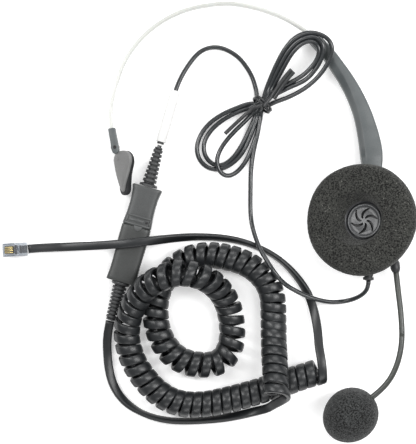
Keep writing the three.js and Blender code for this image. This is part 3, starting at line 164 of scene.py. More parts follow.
def foam_material(name, dark, light, fleck):
    """open-cell foam: dark pores between lighter cell walls, with a few bright flecks"""
    m = bpy.data.materials.new(name)
    m.use_nodes = True
    nt = m.node_tree
    b = nt.nodes["Principled BSDF"]
    tc = nt.nodes.new("ShaderNodeTexCoord")
    v = node(nt, "ShaderNodeTexVoronoi", Scale=900.0)
    v.feature = "DISTANCE_TO_EDGE"
    nt.links.new(tc.outputs["Object"], v.inputs["Vector"])
    v2 = node(nt, "ShaderNodeTexNoise", Scale=1150.0, Detail=3.0, Roughness=0.7)
    nt.links.new(tc.outputs["Object"], v2.inputs["Vector"])
    big = node(nt, "ShaderNodeTexNoise", Scale=55.0, Detail=2.0, Roughness=0.5)
    nt.links.new(tc.outputs["Object"], big.inputs["Vector"])
    a = node(nt, "ShaderNodeMath", operation="MULTIPLY_ADD")
    nt.links.new(v2.outputs["Fac"], a.inputs[0]); a.inputs[1].default_value = 0.85
    s = node(nt, "ShaderNodeMath", operation="MULTIPLY"); s.inputs[1].default_value = 0.15
    nt.links.new(big.outputs["Fac"], s.inputs[0]); nt.links.new(s.outputs[0], a.inputs[2])
    col = ramp(nt, a.outputs[0], [(0.36, dark), (0.44, dark), (0.52, light), (0.62, light), (0.70, fleck)])
    nt.links.new(col, b.inputs["Base Color"])
    b.inputs["Roughness"].default_value = 0.95
    b.inputs["Specular IOR Level"].default_value = 0.15
    b.inputs["Sheen Weight"].default_value = 0.12
    b.inputs["Sheen Roughness"].default_value = 0.5
    bp = node(nt, "ShaderNodeBump", Strength=0.9, Distance=0.0005)
    h = node(nt, "ShaderNodeMath", operation="ADD")
    nt.links.new(v2.outputs["Fac"], h.inputs[0]); nt.links.new(v.outputs["Distance"], h.inputs[1])
    nt.links.new(h.outputs[0], bp.inputs["Height"])
    nt.links.new(bp.outputs["Normal"], b.inputs["Normal"])
    return m

def clear_material(name, tint, rough=0.08):
    m = bpy.data.materials.new(name)
    m.use_nodes = True
    nt = m.node_tree
    b = nt.nodes["Principled BSDF"]
    tc = nt.nodes.new("ShaderNodeTexCoord")
    n1 = node(nt, "ShaderNodeTexNoise", Scale=260.0, Detail=2.0)
    nt.links.new(tc.outputs["Object"], n1.inputs["Vector"])
    col = ramp(nt, n1.outputs["Fac"], [(0.3, tint), (0.7, tuple(min(1, c * 1.08) for c in tint))])
    nt.links.new(col, b.inputs["Base Color"])
    b.inputs["Transmission Weight"].default_value = 0.85
    b.inputs["Roughness"].default_value = rough
    b.inputs["IOR"].default_value = 1.45
    bp = node(nt, "ShaderNodeBump", Strength=0.1, Distance=0.0001)
    nt.links.new(n1.outputs["Fac"], bp.inputs["Height"])
    nt.links.new(bp.outputs["Normal"], b.inputs["Normal"])
    return m

MAT = {
    "strip": material("strip_finish", (0.50, 0.51, 0.485), (0.57, 0.575, 0.55), scale=1400, rough=(0.28, 0.4), bump=0.05, metallic=0.15),
    "grey": material("grey_plastic", (0.050, 0.058, 0.060), (0.078, 0.087, 0.089), scale=2600, rough=(0.34, 0.46), bump=0.12, edge=0.3, dist=0.00004),
    "grey_qd": material("connector_plastic", (0.034, 0.036, 0.036), (0.058, 0.061, 0.061), scale=2400, rough=(0.36, 0.48), bump=0.16, edge=0.3, dist=0.00005, specular=0.45),
    "grey_qd2": material("connector_plastic_low", (0.022, 0.024, 0.023), (0.040, 0.042, 0.041), scale=2400, rough=(0.36, 0.48), bump=0.16, edge=0.3, dist=0.00005, specular=0.45),
    "light": material("plate_plastic", (0.128, 0.128, 0.127), (0.165, 0.165, 0.163), scale=2200, rough=(0.42, 0.52), bump=0.1, edge=0.3, dist=0.00004),
    "dark": material("dark_plastic", (0.014, 0.015, 0.017), (0.023, 0.024, 0.027), scale=2200, rough=(0.35, 0.5), bump=0.12, edge=0.3, dist=0.00004),
    "black": material("black_plastic", (0.006, 0.006, 0.007), (0.012, 0.012, 0.013), scale=2000, rough=(0.4, 0.55), bump=0.1, edge=0.2, dist=0.00004, specular=0.3),
    "grille": material("grille_plastic", (0.026, 0.028, 0.030), (0.040, 0.042, 0.045), scale=2400, rough=(0.30, 0.40), bump=0.08, edge=0.5, dist=0.00004, coat=0.2),
    "pad": material("pad_rubber", (0.012, 0.013, 0.014), (0.022, 0.023, 0.025), scale=1800, rough=(0.5, 0.62), bump=0.2, dist=0.00006, specular=0.35),
    "rubber": material("relief_rubber", (0.014, 0.015, 0.016), (0.026, 0.027, 0.028), scale=1700, rough=(0.36, 0.5), bump=0.18, edge=0.35, dist=0.00005, specular=0.4),
    "cable": material("cable_jacket", (0.014, 0.016, 0.018), (0.026, 0.029, 0.031), scale=1300, rough=(0.2, 0.27), bump=0.07, coat=0.1, dist=0.00004, specular=0.5),
    "boom": material("boom_jacket", (0.030, 0.033, 0.030), (0.050, 0.054, 0.048), scale=1300, rough=(0.27, 0.38), bump=0.08, dist=0.00004, specular=0.5),
    "coil": material("coil_jacket", (0.006, 0.007, 0.008), (0.011, 0.0125, 0.014), scale=1100, rough=(0.32, 0.38), bump=0.03, edge=0.15, dist=0.00003, specular=0.5),
    "sleeve": material("sleeve_paper", (0.67, 0.67, 0.66), (0.73, 0.73, 0.72), scale=1500, rough=(0.5, 0.6), bump=0.05, sub=0.1),
    "steel": material("plated_steel", (0.42, 0.42, 0.42), (0.55, 0.55, 0.55), scale=1600, rough=(0.25, 0.38), bump=0.06, metallic=1.0),
    "link": material("blackened_steel", (0.05, 0.05, 0.052), (0.08, 0.08, 0.083), scale=1600, rough=(0.35, 0.5), bump=0.06, metallic=1.0),
    "gold": material("gold_plate", (0.80, 0.62, 0.26), (0.92, 0.76, 0.38), scale=1600, rough=(0.2, 0.3), bump=0.05, metallic=1.0),
    "board": material("board_green", (0.03, 0.14, 0.05), (0.05, 0.2, 0.08), scale=900, rough=(0.35, 0.5), bump=0.1),
    "tie": material("tie_coating", (0.014, 0.015, 0.016), (0.030, 0.031, 0.033), scale=1500, rough=(0.3, 0.42), bump=0.12, specular=0.5),
    "foam": foam_material("cushion_foam", (0.005, 0.005, 0.005), (0.043, 0.044, 0.040), (0.21, 0.21, 0.19)),
    "mic_foam": foam_material("windscreen_foam", (0.006, 0.006, 0.006), (0.046, 0.048, 0.048), (0.16, 0.16, 0.155)),
    "clear": clear_material("clear_plastic", (0.50, 0.53, 0.57)),
}

# ----------------------------------------------------------- mesh helpers
def make(name, verts, faces, mat, body, smooth=True, angle=None, flip_check=True):
    me = bpy.data.meshes.new(name)
    me.from_pydata([tuple(v) for v in verts], [], faces)
    me.validate()
    bm = bmesh.new(); bm.from_mesh(me)
    bmesh.ops.recalc_face_normals(bm, faces=bm.faces)
    bm.to_mesh(me); bm.free()
    ob = bpy.data.objects.new(name, me)
    bpy.context.scene.collection.objects.link(ob)
    me.materials.append(MAT[mat] if isinstance(mat, str) else mat)
    if smooth:
        me.polygons.foreach_set("use_smooth", [True] * len(me.polygons))
        if angle is not None:
            bm = bmesh.new(); bm.from_mesh(me)
            lim = math.radians(angle)
            for e in bm.edges:
                if len(e.link_faces) == 2 and e.calc_face_angle(0.0) > lim:
                    e.smooth = False
            bm.to_mesh(me); bm.free()
    if body:
        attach(ob, body)
    return ob

def join_lists(parts):
    V, F = [], []
    for v, f in parts:
        b = len(V)
        V += [tuple(p) for p in v]
        F += [tuple(i + b for i in q) for q in f]
    return V, F

def rings_mesh(rings, closed=False, cap=True):
    """quads through equal rings; caps as fans"""
    n = len(rings[0]); m = len(rings)
    V = [tuple(p) for r in rings for p in r]; F = []
    for i in range(m if closed else m - 1):
        a, b = i * n, ((i + 1) % m) * n
        for j in range(n):
            k = (j + 1) % n
            F.append((a + j, a + k, b + k, b + j))
    if cap and not closed:
        for base in (0, (m - 1) * n):
            c = [sum(V[base + j][q] for j in range(n)) / n for q in range(3)]
            ci = len(V); V.append(tuple(c))
            for j in range(n):
                k = (j + 1) % n
                F.append((ci, base + j, base + k) if base else (ci, base + k, base + j))
    return V, F

def lathe(profile, seg=48, mat4=None):
    """(r, z) pairs turned about +Z, in the units of the profile; points on the axis are shared"""
    V, F = [], []
    idx = []
    closed = len(profile) > 2 and profile[0] == profile[-1]
    prof = profile[:-1] if closed else profile
    for r, z in prof:
        if r < 1e-9:
            idx.append([len(V)] * seg); V.append((0.0, 0.0, z))
        else:
            row = []
            for j in range(seg):
                a = 2 * math.pi * j / seg
                row.append(len(V)); V.append((r * math.cos(a), r * math.sin(a), z))
            idx.append(row)
    m = len(prof)
    for i in range(m if closed else m - 1):
        A, B = idx[i], idx[(i + 1) % m]
        for j in range(seg):
            k = (j + 1) % seg
            q = [A[j], A[k], B[k], B[j]]
            q = [x for t, x in enumerate(q) if x not in q[:t]]
            if len(q) > 2: F.append(tuple(q))
    if mat4 is not None:
        V = [tuple(mat4 @ Vector(v)) for v in V]
    return V, F

def catmull(pts, n_per=8, closed=False):
    """centripetal-like smooth curve through the points, resampled"""
    p = [np.array(q, float) for q in pts]
    out = []
    m = len(p)
    for i in range(m - 1):
        p0 = p[i - 1] if i > 0 else 2 * p[0] - p[1]
        p1, p2 = p[i], p[i + 1]
        p3 = p[i + 2] if i + 2 < m else 2 * p[-1] - p[-2]
        t0 = 0.0
        t1 = t0 + max(1e-6, np.linalg.norm(p1 - p0)) ** 0.5
        t2 = t1 + max(1e-6, np.linalg.norm(p2 - p1)) ** 0.5
        t3 = t2 + max(1e-6, np.linalg.norm(p3 - p2)) ** 0.5
        for k in range(n_per):
            t = t1 + (t2 - t1) * k / n_per
            a1 = (t1 - t) / (t1 - t0) * p0 + (t - t0) / (t1 - t0) * p1
            a2 = (t2 - t) / (t2 - t1) * p1 + (t - t1) / (t2 - t1) * p2
            a3 = (t3 - t) / (t3 - t2) * p2 + (t - t2) / (t3 - t2) * p3
            b1 = (t2 - t) / (t2 - t0) * a1 + (t - t0) / (t2 - t0) * a2
            b2 = (t3 - t) / (t3 - t1) * a2 + (t - t1) / (t3 - t1) * a3
            out.append((t2 - t) / (t2 - t1) * b1 + (t - t1) / (t2 - t1) * b2)
    out.append(p[-1])
    return np.array(out)

def resample(pts, step):
    pts = np.array(pts, float)
    d = np.r_[0, np.cumsum(np.linalg.norm(np.diff(pts, axis=0), axis=1))]
    n = max(2, int(round(d[-1] / step)) + 1)
    s = np.linspace(0, d[-1], n)
    return np.stack([np.interp(s, d, pts[:, k]) for k in range(3)], 1)

def relax(pts, times=6, keep=2):
    p = np.array(pts, float)
    for _ in range(times):
        q = p.copy()
        q[1:-1] = 0.25 * p[:-2] + 0.5 * p[1:-1] + 0.25 * p[2:]
        q[:keep] = p[:keep]; q[-keep:] = p[-keep:]
        p = q
    return p

def tangents(p):
    t = np.gradient(p, axis=0)
    return t / np.linalg.norm(t, axis=1)[:, None]

def rmf(p, first):
    """rotation-minimising frame: one normal per point"""
    t = tangents(p)
    n = np.array(first, float); n -= n.dot(t[0]) * t[0]; n /= np.linalg.norm(n)
    out = [n]
    for i in range(len(p) - 1):
        v1 = p[i + 1] - p[i]; c1 = v1.dot(v1)
        rl = out[-1] - 2 / c1 * v1.dot(out[-1]) * v1
        tl = t[i] - 2 / c1 * v1.dot(t[i]) * v1
        v2 = t[i + 1] - tl; c2 = v2.dot(v2)
        r = rl - (2 / c2 * v2.dot(rl) * v2 if c2 > 1e-12 else 0)
        r -= r.dot(t[i + 1]) * t[i + 1]
        out.append(r / np.linalg.norm(r))
    return t, np.array(out)

def sweep(p, section, width_dirs, scale=None):
    """rings of the section (w, h) pairs along p (mm, layout); w along width_dirs, h along T x W"""
    t = tangents(p)
    W = np.array(width_dirs, float)
    W -= (W * t).sum(1)[:, None] * t
    W /= np.linalg.norm(W, axis=1)[:, None]
    Hh = np.cross(t, W)
    rings = []
    for i in range(len(p)):
        k = 1.0 if scale is None else scale[i]
        rings.append([M(p[i] + k * (a * W[i] + b * Hh[i])) for a, b in section])
    return rings

def superellipse(hw, hh, e=2.0, n=12):
    out = []
    for i in range(n):
        a = 2 * math.pi * (i + 0.5) / n
        c, s = math.cos(a), math.sin(a)
        out.append((hw * math.copysign(abs(c) ** (2 / e), c), hh * math.copysign(abs(s) ** (2 / e), s)))
    return out

def round_tube(pts, r, n=12, step=None):
    p = resample(pts, step) if step else np.array(pts, float)
    t, nrm = rmf(p, (0.01, 0.02, 1.0))
    rings = sweep(p, superellipse(r, r, 2.0, n), nrm)
    return p, rings

# ------------------------------------------------------- desk cord (one wire)
RC, HT, HW = 6.2, 1.28, 2.5            # coil's wire radius, half thickness, half width
axis = resample(catmull(COIL + [[62.9, -84.3, 7.8]], 10), 0.25)
axis = relax(axis, 30)
AT, AN = rmf(axis, (1.0, 0.0, 0.0))
AB = np.cross(AT, AN)
s_ax = np.r_[0, np.cumsum(np.linalg.norm(np.diff(axis, axis=0), axis=1))]
L_AX = s_ax[-1]
def pitch_at(s):
    f = s / L_AX
    knots = [(0, 5.5), (0.19, 5.6), (0.24, 6.2), (0.36, 6.7), (0.47, 6.9), (0.62, 6.9), (0.72, 6.4), (0.80, 5.8), (0.9, 5.5), (1.0, 5.5)]
    return float(np.interp(f, [k[0] for k in knots], [k[1] for k in knots]))
turns = np.r_[0, np.cumsum([0.25 / pitch_at(s) * (L_AX / (len(s_ax) - 1) / 0.25) for s in s_ax[1:]])]
# end phases: enters low on the right-hand side, leaves from the top
e2 = AB
def frame_angle(i, vec):
    v = np.array(vec, float)
    return math.atan2(v.dot(AB[i]), v.dot(AN[i]))
SIGN = -1.0                             # left-handed winding
phi0 = frame_angle(0, (0.55, -0.33, -0.76))
phi1 = frame_angle(len(axis) - 1, (-0.02, -0.25, 1.0))
total = turns[-1]
raw = SIGN * 2 * math.pi * total
want = phi1 - phi0
k = round((raw - want) / (2 * math.pi))
adj = (want + 2 * math.pi * k) / raw
n_coil = int(total * 26)
tt = np.linspace(0, total, n_coil)
s_i = np.interp(tt, turns, s_ax)
def at(arr, s):
    return np.stack([np.interp(s, s_ax, arr[:, q]) for q in range(3)], 1)
C_, N_, B_, T_ = at(axis, s_i), at(AN, s_i), at(AB, s_i), at(AT, s_i)
ph = phi0 + SIGN * 2 * math.pi * tt * adj
rng = random.Random(7)
wob = np.interp(tt, np.arange(0, total + 2), [rng.uniform(-0.16, 0.16) for _ in range(int(total) + 2)] + [0] * (len(np.arange(0, total + 2)) - int(total) - 2))
rad_i = RC + wob * 0.8
coil_p = C_ + rad_i[:, None] * (np.cos(ph)[:, None] * N_ + np.sin(ph)[:, None] * B_) + T_ * (wob * 0.9)[:, None]
coil_w = T_ / np.linalg.norm(T_, axis=1)[:, None]
def flat_dirs(p, rolls):
    t = tangents(p); up = np.array([0, 0, 1.0])
    side = np.cross(up, t); side /= np.linalg.norm(side, axis=1)[:, None]
    top = np.cross(t, side)
    u = np.linspace(0, len(rolls) - 1, len(p))
    a = np.radians(np.interp(u, range(len(rolls)), rolls))
    n = top * np.cos(a)[:, None] + side * np.sin(a)[:, None]
    return np.cross(t, n)
lead_a = relax(resample(catmull(LEAD_A[:18] + [[34.6, -104.6, 9.4], [38.3, -101.6, 14.6]], 8), 1.6), 4)
lead_a = np.vstack([lead_a, coil_p[:1]])
lead_a = resample(catmull(list(lead_a[::6]) + [coil_p[0], coil_p[3]], 8), 1.5)
cut = np.argmin(np.linalg.norm(lead_a - coil_p[0], axis=1))
lead_a = lead_a[:cut]
wa = flat_dirs(lead_a, [0, 0, 15, 40, 75, 72, 70, 60, 35, 10, 0])
lead_b = resample(catmull([coil_p[-4], coil_p[-1]] + [[64.0, -80.3, 14.0], [63.3, -75.3, 12.9]] + TAIL_B[4:], 8), 1.6)
cut = np.argmin(np.linalg.norm(lead_b - coil_p[-1], axis=1))
lead_b = relax(lead_b[cut + 1:], 4)
wb = flat_dirs(lead_b, [0, 0, 20, 50, 70, 70, 60, 55, 35, 5, 0, 0, 0, 0])
path = np.vstack([lead_a, coil_p, lead_b])
wdir = [w for w in wa] + [w for w in coil_w] + [w for w in wb]
for i in range(1, len(wdir)):
    if np.dot(wdir[i], wdir[i - 1]) < 0: wdir[i] = -np.array(wdir[i])
wdir = np.array(wdir)
ia, ib = len(lead_a), len(lead_a) + len(coil_p)
for c, span in ((ia, 7), (ib, 7)):
    for _ in range(10):
        q = wdir.copy()
        for i in range(c - span, c + span):
            q[i] = (wdir[i - 1] + wdir[i] + wdir[i + 1]) / 3
        wdir = q
    for _ in range(14):
        q = path.copy()
        for i in range(c - 6, c + 6):
            q[i] = (path[i - 1] + 2 * path[i] + path[i + 1]) / 4
        path = q
def bend_radii(q):
    e0, e1 = q[1:-1] - q[:-2], q[2:] - q[1:-1]
    n = np.linalg.norm
    return n(e0, axis=1) * n(e1, axis=1) * n(e0 + e1, axis=1) / (2 * n(np.cross(e0, e1), axis=1) + 1e-9)


for c in (ia, ib):
    best = (bend_radii(path[c - 16:c + 17]).min(), None, None, None)
    was = best[0]
    for n0 in range(4, 16):
        for n1 in range(4, 16):
            i0, i1 = c - n0, c + n1
            t0, t1 = path[i0] - path[i0 - 1], path[i1 + 1] - path[i1]
            L = np.linalg.norm(path[i1] - path[i0])
            t0, t1 = t0 / np.linalg.norm(t0), t1 / np.linalg.norm(t1)
            u = np.linspace(0, 1, i1 - i0 + 1)[:, None]
            for m in (0.7, 0.9, 1.1, 1.3, 1.6, 1.9):
                h = (2 * u**3 - 3 * u**2 + 1) * path[i0] + (u**3 - 2 * u**2 + u) * m * L * t0 \
                    + (3 * u**2 - 2 * u**3) * path[i1] + (u**3 - u**2) * m * L * t1
                far = max(np.linalg.norm(path[i0:i1 + 1] - p, axis=1).min() for p in h)
                if far > 3.2 or h[:, 2].min() < 1.2:
                    continue
                t = np.gradient(h, axis=0)
                t /= np.linalg.norm(t, axis=1)[:, None]
                w = wdir[i0:i1 + 1] / np.linalg.norm(wdir[i0:i1 + 1], axis=1)[:, None]
                if np.abs((t * w).sum(1)).max() > 0.8:
                    continue
                r = bend_radii(np.vstack([path[c - 16:i0], h, path[i1 + 1:c + 17]])).min()
                if r > best[0] + 0.02:
                    best = (r, i0, i1, h)
    if best[3] is not None:
        path[best[1]:best[2] + 1] = best[3]
    print("join", c, "was", round(float(was), 2), "now", round(float(best[0]), 2), best[1:3])
path[:, 2] = np.maximum(path[:, 2], 1.35)
kept = [0]
for i in range(1, len(path)):
    d = path[i] - path[kept[-1]]
    L = np.linalg.norm(d)
    if L < 0.4: continue
    kept.append(i)
print("desk path points", len(path), "kept", len(kept), "dropped", [i for i in range(len(path)) if i not in set(kept)][:20], "joins", ia, ib)
path, wdir = path[kept], wdir[kept]
rings = sweep(path, superellipse(HW, HT, 4.2, 14), wdir)
V, F = rings_mesh(rings)
desk = make("desk_cord", V, F, "coil", "root")
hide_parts("lead_a", "coil_cord", "lead_b")
sg_ = np.diff(path, axis=0); sl_ = np.linalg.norm(sg_, axis=1)
tn_ = np.arccos(np.clip((sg_[1:] * sg_[:-1]).sum(1) / (sl_[1:] * sl_[:-1]), -1, 1))
rad_ = np.minimum(sl_[1:], sl_[:-1]) / np.maximum(tn_, 1e-6)
print("tightest", [(int(i), round(float(rad_[i]), 2), [round(float(v), 1) for v in path[i + 1]]) for i in np.argsort(rad_)[:6]])

# --------------------------------------------------- headset cable, two runs
KNOT = (29.99, 66.56)
HD = np.array([math.sin(math.atan2(0.69, 0.72)), math.cos(math.atan2(0.69, 0.72))])   # along the hank, upwards
def up_pt(px, py, dz=0.0):
    q = P(px, py, 3.0)
    for _ in range(3):
        d = (q[0] - KNOT[0]) * HD[0] + (q[1] - KNOT[1]) * HD[1]
        z = 2.7 + 0.253 * max(0.0, d - 4.05) + dz
        q = P(px, py, z)
    return q
def lo_pt(px, py, z=1.5): return P(px, py, z)
U1 = [up_pt(*p) for p in [(266, 90), (271, 77), (277.4, 62.5), (286.2, 47), (296.6, 36.6), (309, 32.2), (321, 34.4), (329.4, 40), (332.6, 49), (329.4, 60), (321, 73.4), (307.4, 86.6), (288.5, 97.2), (274, 102.4)]]
U2 = [up_pt(*p) for p in [(268.5, 91), (273.8, 78.5), (280.3, 65), (288.6, 50.6), (298.6, 40.4), (309.5, 36.2), (318.4, 38), (323.6, 45.4), (322.4, 56.4), (316, 68.6), (306, 79.6), (290.4, 87), (275.5, 94.4), (268, 98.6)]]
U3 = [up_pt(*p) for p in [(270.5, 92.5), (277, 80), (284, 67), (291.3, 54.4), (299.8, 45), (308, 40.8), (315.5, 42.2), (319.4, 48), (318, 57.4), (311.6, 67), (302, 76), (288, 83.6), (274.5, 90.6), (267, 96.4)]]
LA = [lo_pt(*p) for p in [(252, 103.2), (235.5, 108.4), (218.7, 116.4), (205.6, 127.4), (198, 141), (196.8, 152), (200.8, 162), (209, 168.4), (219.7, 169.4), (231, 164.4), (242, 153.4), (250, 137), (256, 121.6), (259.2, 112.4)]]
LB = [lo_pt(*p) for p in [(252.6, 106.6), (236.5, 112.6), (221, 121.4), (209.4, 132.4), (203.6, 144.4), (205, 155.8), (211.4, 163.6), (221.4, 165.8), (231.5, 159.4), (240.4, 147.6), (247.6, 133.4), (253.6, 120.4), (257, 112)]]
LC = [lo_pt(*p) for p in [(255.4, 110.4, 3.0), (247, 119.4, 3.3), (234.4, 131.6, 3.9), (223.8, 144, 4.1), (217.6, 155.8, 4.1), (217, 165, 4.1), (220.8, 173.2, 3.6), (227.4, 176.6, 2.6), (236.6, 172.4, 1.6), (246, 161, 1.5), (252.6, 146, 1.5), (257.6, 131.6, 1.5), (260.4, 118, 1.6)]]
def knot_pt(dx, dy, z): return P(260.9 + dx * 1.7, 105.3 + dy * 1.7, z)
head_pts = ([[CABLE_A[0][0] + 0.05, CABLE_A[0][1] + 1.1, CABLE_A[0][2] + 0.1]] + [list(p) for p in CABLE_A[:24]] + [P(261.2, 110.5, 2.0), knot_pt(1.2, -1.5, 2.6), P(263.8, 97.5, 3.2)] + U1 + [knot_pt(3.2, 0.6, 3.2)] + LA + [knot_pt(-1.2, 1.5, 4.4), P(265, 99, 4.6)]
            + U2 + [knot_pt(0.6, -2.6, 4.6)] + LB + [knot_pt(-0.2, 2.2, 5.4), P(266.4, 99, 5.4)] + U3 + [knot_pt(1.6, -1.0, 5.6)] + LC + [P(261.4, 110.5, 3.0), knot_pt(-1.9, -1.8, 3.0)])
headp = relax(resample(catmull(head_pts, 8), 1.3), 6)
headp[:, 2] = np.maximum(headp[:, 2], 1.32)
hp, hr = round_tube(headp, 1.3, 12)
V, F = rings_mesh(hr)
cable = make("headset_cable", V, F, "cable", None)
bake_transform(cable)
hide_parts("headset_cable_a", "hank_waist", "hank_upper", "hank_lower")
b_pts = [knot_pt(-1.2, 1.5, 2.2), knot_pt(-2.6, -4.0, 2.2)] + [P(256.9, 93.6, 1.9)] + [list(p) for p in CABLE_B[2:]] + [[-28.0, 41.0, 5.1], [-28.6, 38.8, 5.1]]
bp_ = relax(resample(catmull(b_pts, 8), 1.3), 4)
bp_[:, 2] = np.maximum(bp_[:, 2], 1.32)
bpp, br = round_tube(bp_, 1.3, 12)
V, F = rings_mesh(br)
cable_b = make("headset_cable_end", V, F, "cable", None)
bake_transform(cable_b)
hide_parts("headset_cable_b")

# twist tie: a turn round the waist, a long tail and a doubled end
tie_r = 0.75
loop = []
cx, cy = P(261.2, 105.4, 3.6)[:2]
ta = np.array([HD[1], -HD[0]])           # across the hank
for i in range(25):
    a = 2 * math.pi * i / 24 * 1.0
    u = 5.8 * math.cos(a); z = 4.3 + 4.0 * math.sin(a)
    sk = 0.9 * math.sin(a)
    loop.append([cx + ta[0] * u + HD[0] * sk, cy + ta[1] * u + HD[1] * sk, max(0.78, z)])
tie_path = [P(291.4, 69.6, 12.8), P(287.0, 74.5, 11.6), P(282.0, 81.0, 10.2), P(277.0, 88.4, 9.0), P(271.5, 96.5, 8.0), P(266.2, 102.6, 8.6)] + [[cx + ta[0] * 2.0, cy + ta[1] * 2.0, 8.3]]
tail = [P(262.5, 104.5, 8.4), P(257.5, 106.4, 7.8), P(250.5, 110.4, 5.6), P(243.5, 116.4, 4.6), P(236, 123.2, 4.2), P(229.6, 129.2, 4.4), P(225, 133.7, 4.6)]
parts = []
for pts, r in ((loop + [loop[0]], tie_r), ([[p[0] + HD[0] * 1.7, p[1] + HD[1] * 1.7, p[2]] for p in loop + [loop[0]]], tie_r), (tie_path, 1.15), ([[p[0] + ta[0] * 1.9, p[1] + ta[1] * 1.9, p[2] - 0.2] for p in tie_path[:5]], 1.1), (tail, 1.1)):
    q = relax(resample(catmull(pts, 6), 0.7), 4)
    _, rr = round_tube(q, r, 10)
    parts.append(rings_mesh(rr))
V, F = join_lists(parts)
tie = make("tie", V, F, "tie", "root")
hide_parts("twist_tie")

# ------------------------------------------------------------ quick disconnect
ca, sa = math.cos(QD_ANGLE), math.sin(QD_ANGLE)
def QD(x, s, z):
    """across, along (away from the headset side), height"""
    return M((QD_O[0] + x * ca + s * sa, QD_O[1] + x * sa - s * ca, z))
def qd_loft(prof, s_list, zc=5.1, hz=4.8, n=36, e=5.0, groove=True):
    rings = []
    for s, inset in s_list:
        hw = np.interp(s, [p[0] for p in prof], [p[1] for p in prof]) - inset
        ring = []
        for i in range(n):
            a = 2 * math.pi * i / n
            c, d = math.cos(a), math.sin(a)
            x = hw * math.copysign(abs(c) ** (2 / e), c)
            z = (hz - inset) * math.copysign(abs(d) ** (2 / e), d)
            if groove and abs(z) < 0.3 and abs(c) > 0.5: x -= math.copysign(0.22, x)
            ring.append(QD(x, s, zc + z))
        rings.append(ring)
    return rings
up_prof = [(0, 8.5), (1.2, 8.6), (2.6, 8.1), (6, 7.65), (11, 7.5), (16, 7.65), (20, 8.05), (23.3, 8.4)]
lo_prof = [(23.6, 8.35), (30, 8.45), (38, 8.3), (45, 8.1), (50, 8.2), (53.6, 8.55), (55.9, 8.75)]
def stations(s0, s1, edge, steps):
    a = [(s0 + 0.0, edge), (s0 + 0.15 * edge, edge * 0.55), (s0 + 0.5 * edge, edge * 0.18), (s0 + edge, 0.0)]
    mid = [(s0 + edge + (s1 - s0 - 2 * edge) * i / steps, 0.0) for i in range(1, steps)]
    b = [(s1 - edge, 0.0), (s1 - 0.5 * edge, edge * 0.18), (s1 - 0.15 * edge, edge * 0.55), (s1, edge)]
    return a + mid + b
V, F = rings_mesh(qd_loft(up_prof, stations(0.0, 23.32, 0.55, 18)))
qdu = make("connector_upper", V, F, "grey_qd", "qd_upper", angle=40)
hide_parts("qd_upper_top", "qd_upper_bottom")
V, F = rings_mesh(qd_loft(lo_prof, stations(23.36, 55.9, 0.5, 20)))
qdl = make("connector_lower", V, F, "grey_qd2", "root", angle=40)
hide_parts("qd_lower_top", "qd_lower_bottom")
def slab(x0, x1, s0, s1, z0, z1, r=0.5, n=5, lift=0.2):
    """rounded rectangular pad standing on the connector's face"""
    pts = []
    for cx_, cs_, a0 in ((x1 - r, s1 - r, 0), (x0 + r, s1 - r, 90), (x0 + r, s0 + r, 180), (x1 - r, s0 + r, 270)):
        for i in range(n + 1):
            a = math.radians(a0 + 90 * i / n)
            pts.append((cx_ + r * math.cos(a), cs_ + r * math.sin(a)))
    mx_, ms_ = (x0 + x1) / 2, (s0 + s1) / 2
    rows = []
    for z, kk in ((z0, 0.0), (z1 - lift, 0.0), (z1, lift)):
        rows.append([QD(x - math.copysign(min(kk, abs(x - mx_)), x - mx_), s - math.copysign(min(kk, abs(s - ms_)), s - ms_), z) for x, s in pts])
    return rings_mesh(rows)
V, F = join_lists([slab(-6.4, 7.2, 16.9, 18.2, 9.6, 10.3, 0.5, lift=0.3), slab(-7.1, 7.5, 21.5, 22.9, 9.6, 10.3, 0.4, lift=0.3), slab(-6.9, -5.9, 18.3, 21.4, 9.6, 10.25, 0.3), slab(6.5, 7.4, 18.3, 21.4, 9.6, 10.25, 0.3), slab(-5.3, 3.4, 19.0, 20.8, 9.6, 10.15, 0.35)])
ridge = make("connector_latch_rim", V, F, "grey_qd", "qd_upper", angle=50)
# a flat black pad in place of the latch slot: painted shade of the recess
V, F = slab(4.2, 5.9, 19.2, 20.6, 9.7, 10.02, 0.3)
make("connector_slot_painted_shade", V, F, "black", "qd_upper", angle=50)
tabp = []
for z, rr in ((9.92, 2.35), (10.25, 2.35), (10.36, 2.15)):
    tabp.append([QD(0.9 + rr * math.cos(math.pi * i / 14), 22.9 + (rr + 0.75) * 0.92 * math.sin(math.pi * i / 14), z) for i in range(15)])
V, F = rings_mesh(tabp)
make("connector_tab", V, F, "grey_qd", "qd_upper", angle=50)

def relief(name, s0, s1, r0, r1, n_rib, body, direction, hole=1.35, wide=1.0, mat="rubber"):
    prof = [(r0 + 1.0, 0.0), (r0 + 1.05, 0.25), (r0 + 1.05, 1.1), (r0 + 0.6, 1.5), (r0 - 0.35, 1.7)]
    L = abs(s1 - s0)
    pitch = (L - 3.4) / n_rib
    for i in range(n_rib):
        z = 2.0 + i * pitch
        f = z / L
        r = r0 + (r1 - r0) * f
        core = r - 0.95
        prof += [(core, z), (core, z + pitch * 0.22), (r - 0.15, z + pitch * 0.27), (r, z + pitch * 0.36), (r, z + pitch * 0.88), (r - 0.15, z + pitch * 0.96)]
    prof += [(r1 - 0.5, L - 1.2), (r1 - 0.15, L - 0.9), (r1 - 0.2, L - 0.2), (hole, L), (hole, L - 3.0), (0.0, L - 3.0)]
    prof = [(0.0, 0.0)] + prof
    V, F = lathe(prof, 36)
    out = []
    for x, y, z in V:
        out.append(QD(x * wide, s0 + direction * z, 5.1 + y))
    return make(name, out, F, mat, body, angle=50)
ru = relief("relief_upper", -0.25, -23.4, 4.15, 2.45, 8, "qd_upper", -1)
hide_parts("qd_upper_relief")
rl = relief("relief_lower", 56.1, 78.4, 4.2, 2.75, 9, "root", 1, hole=1.5)
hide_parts("qd_lower_relief")

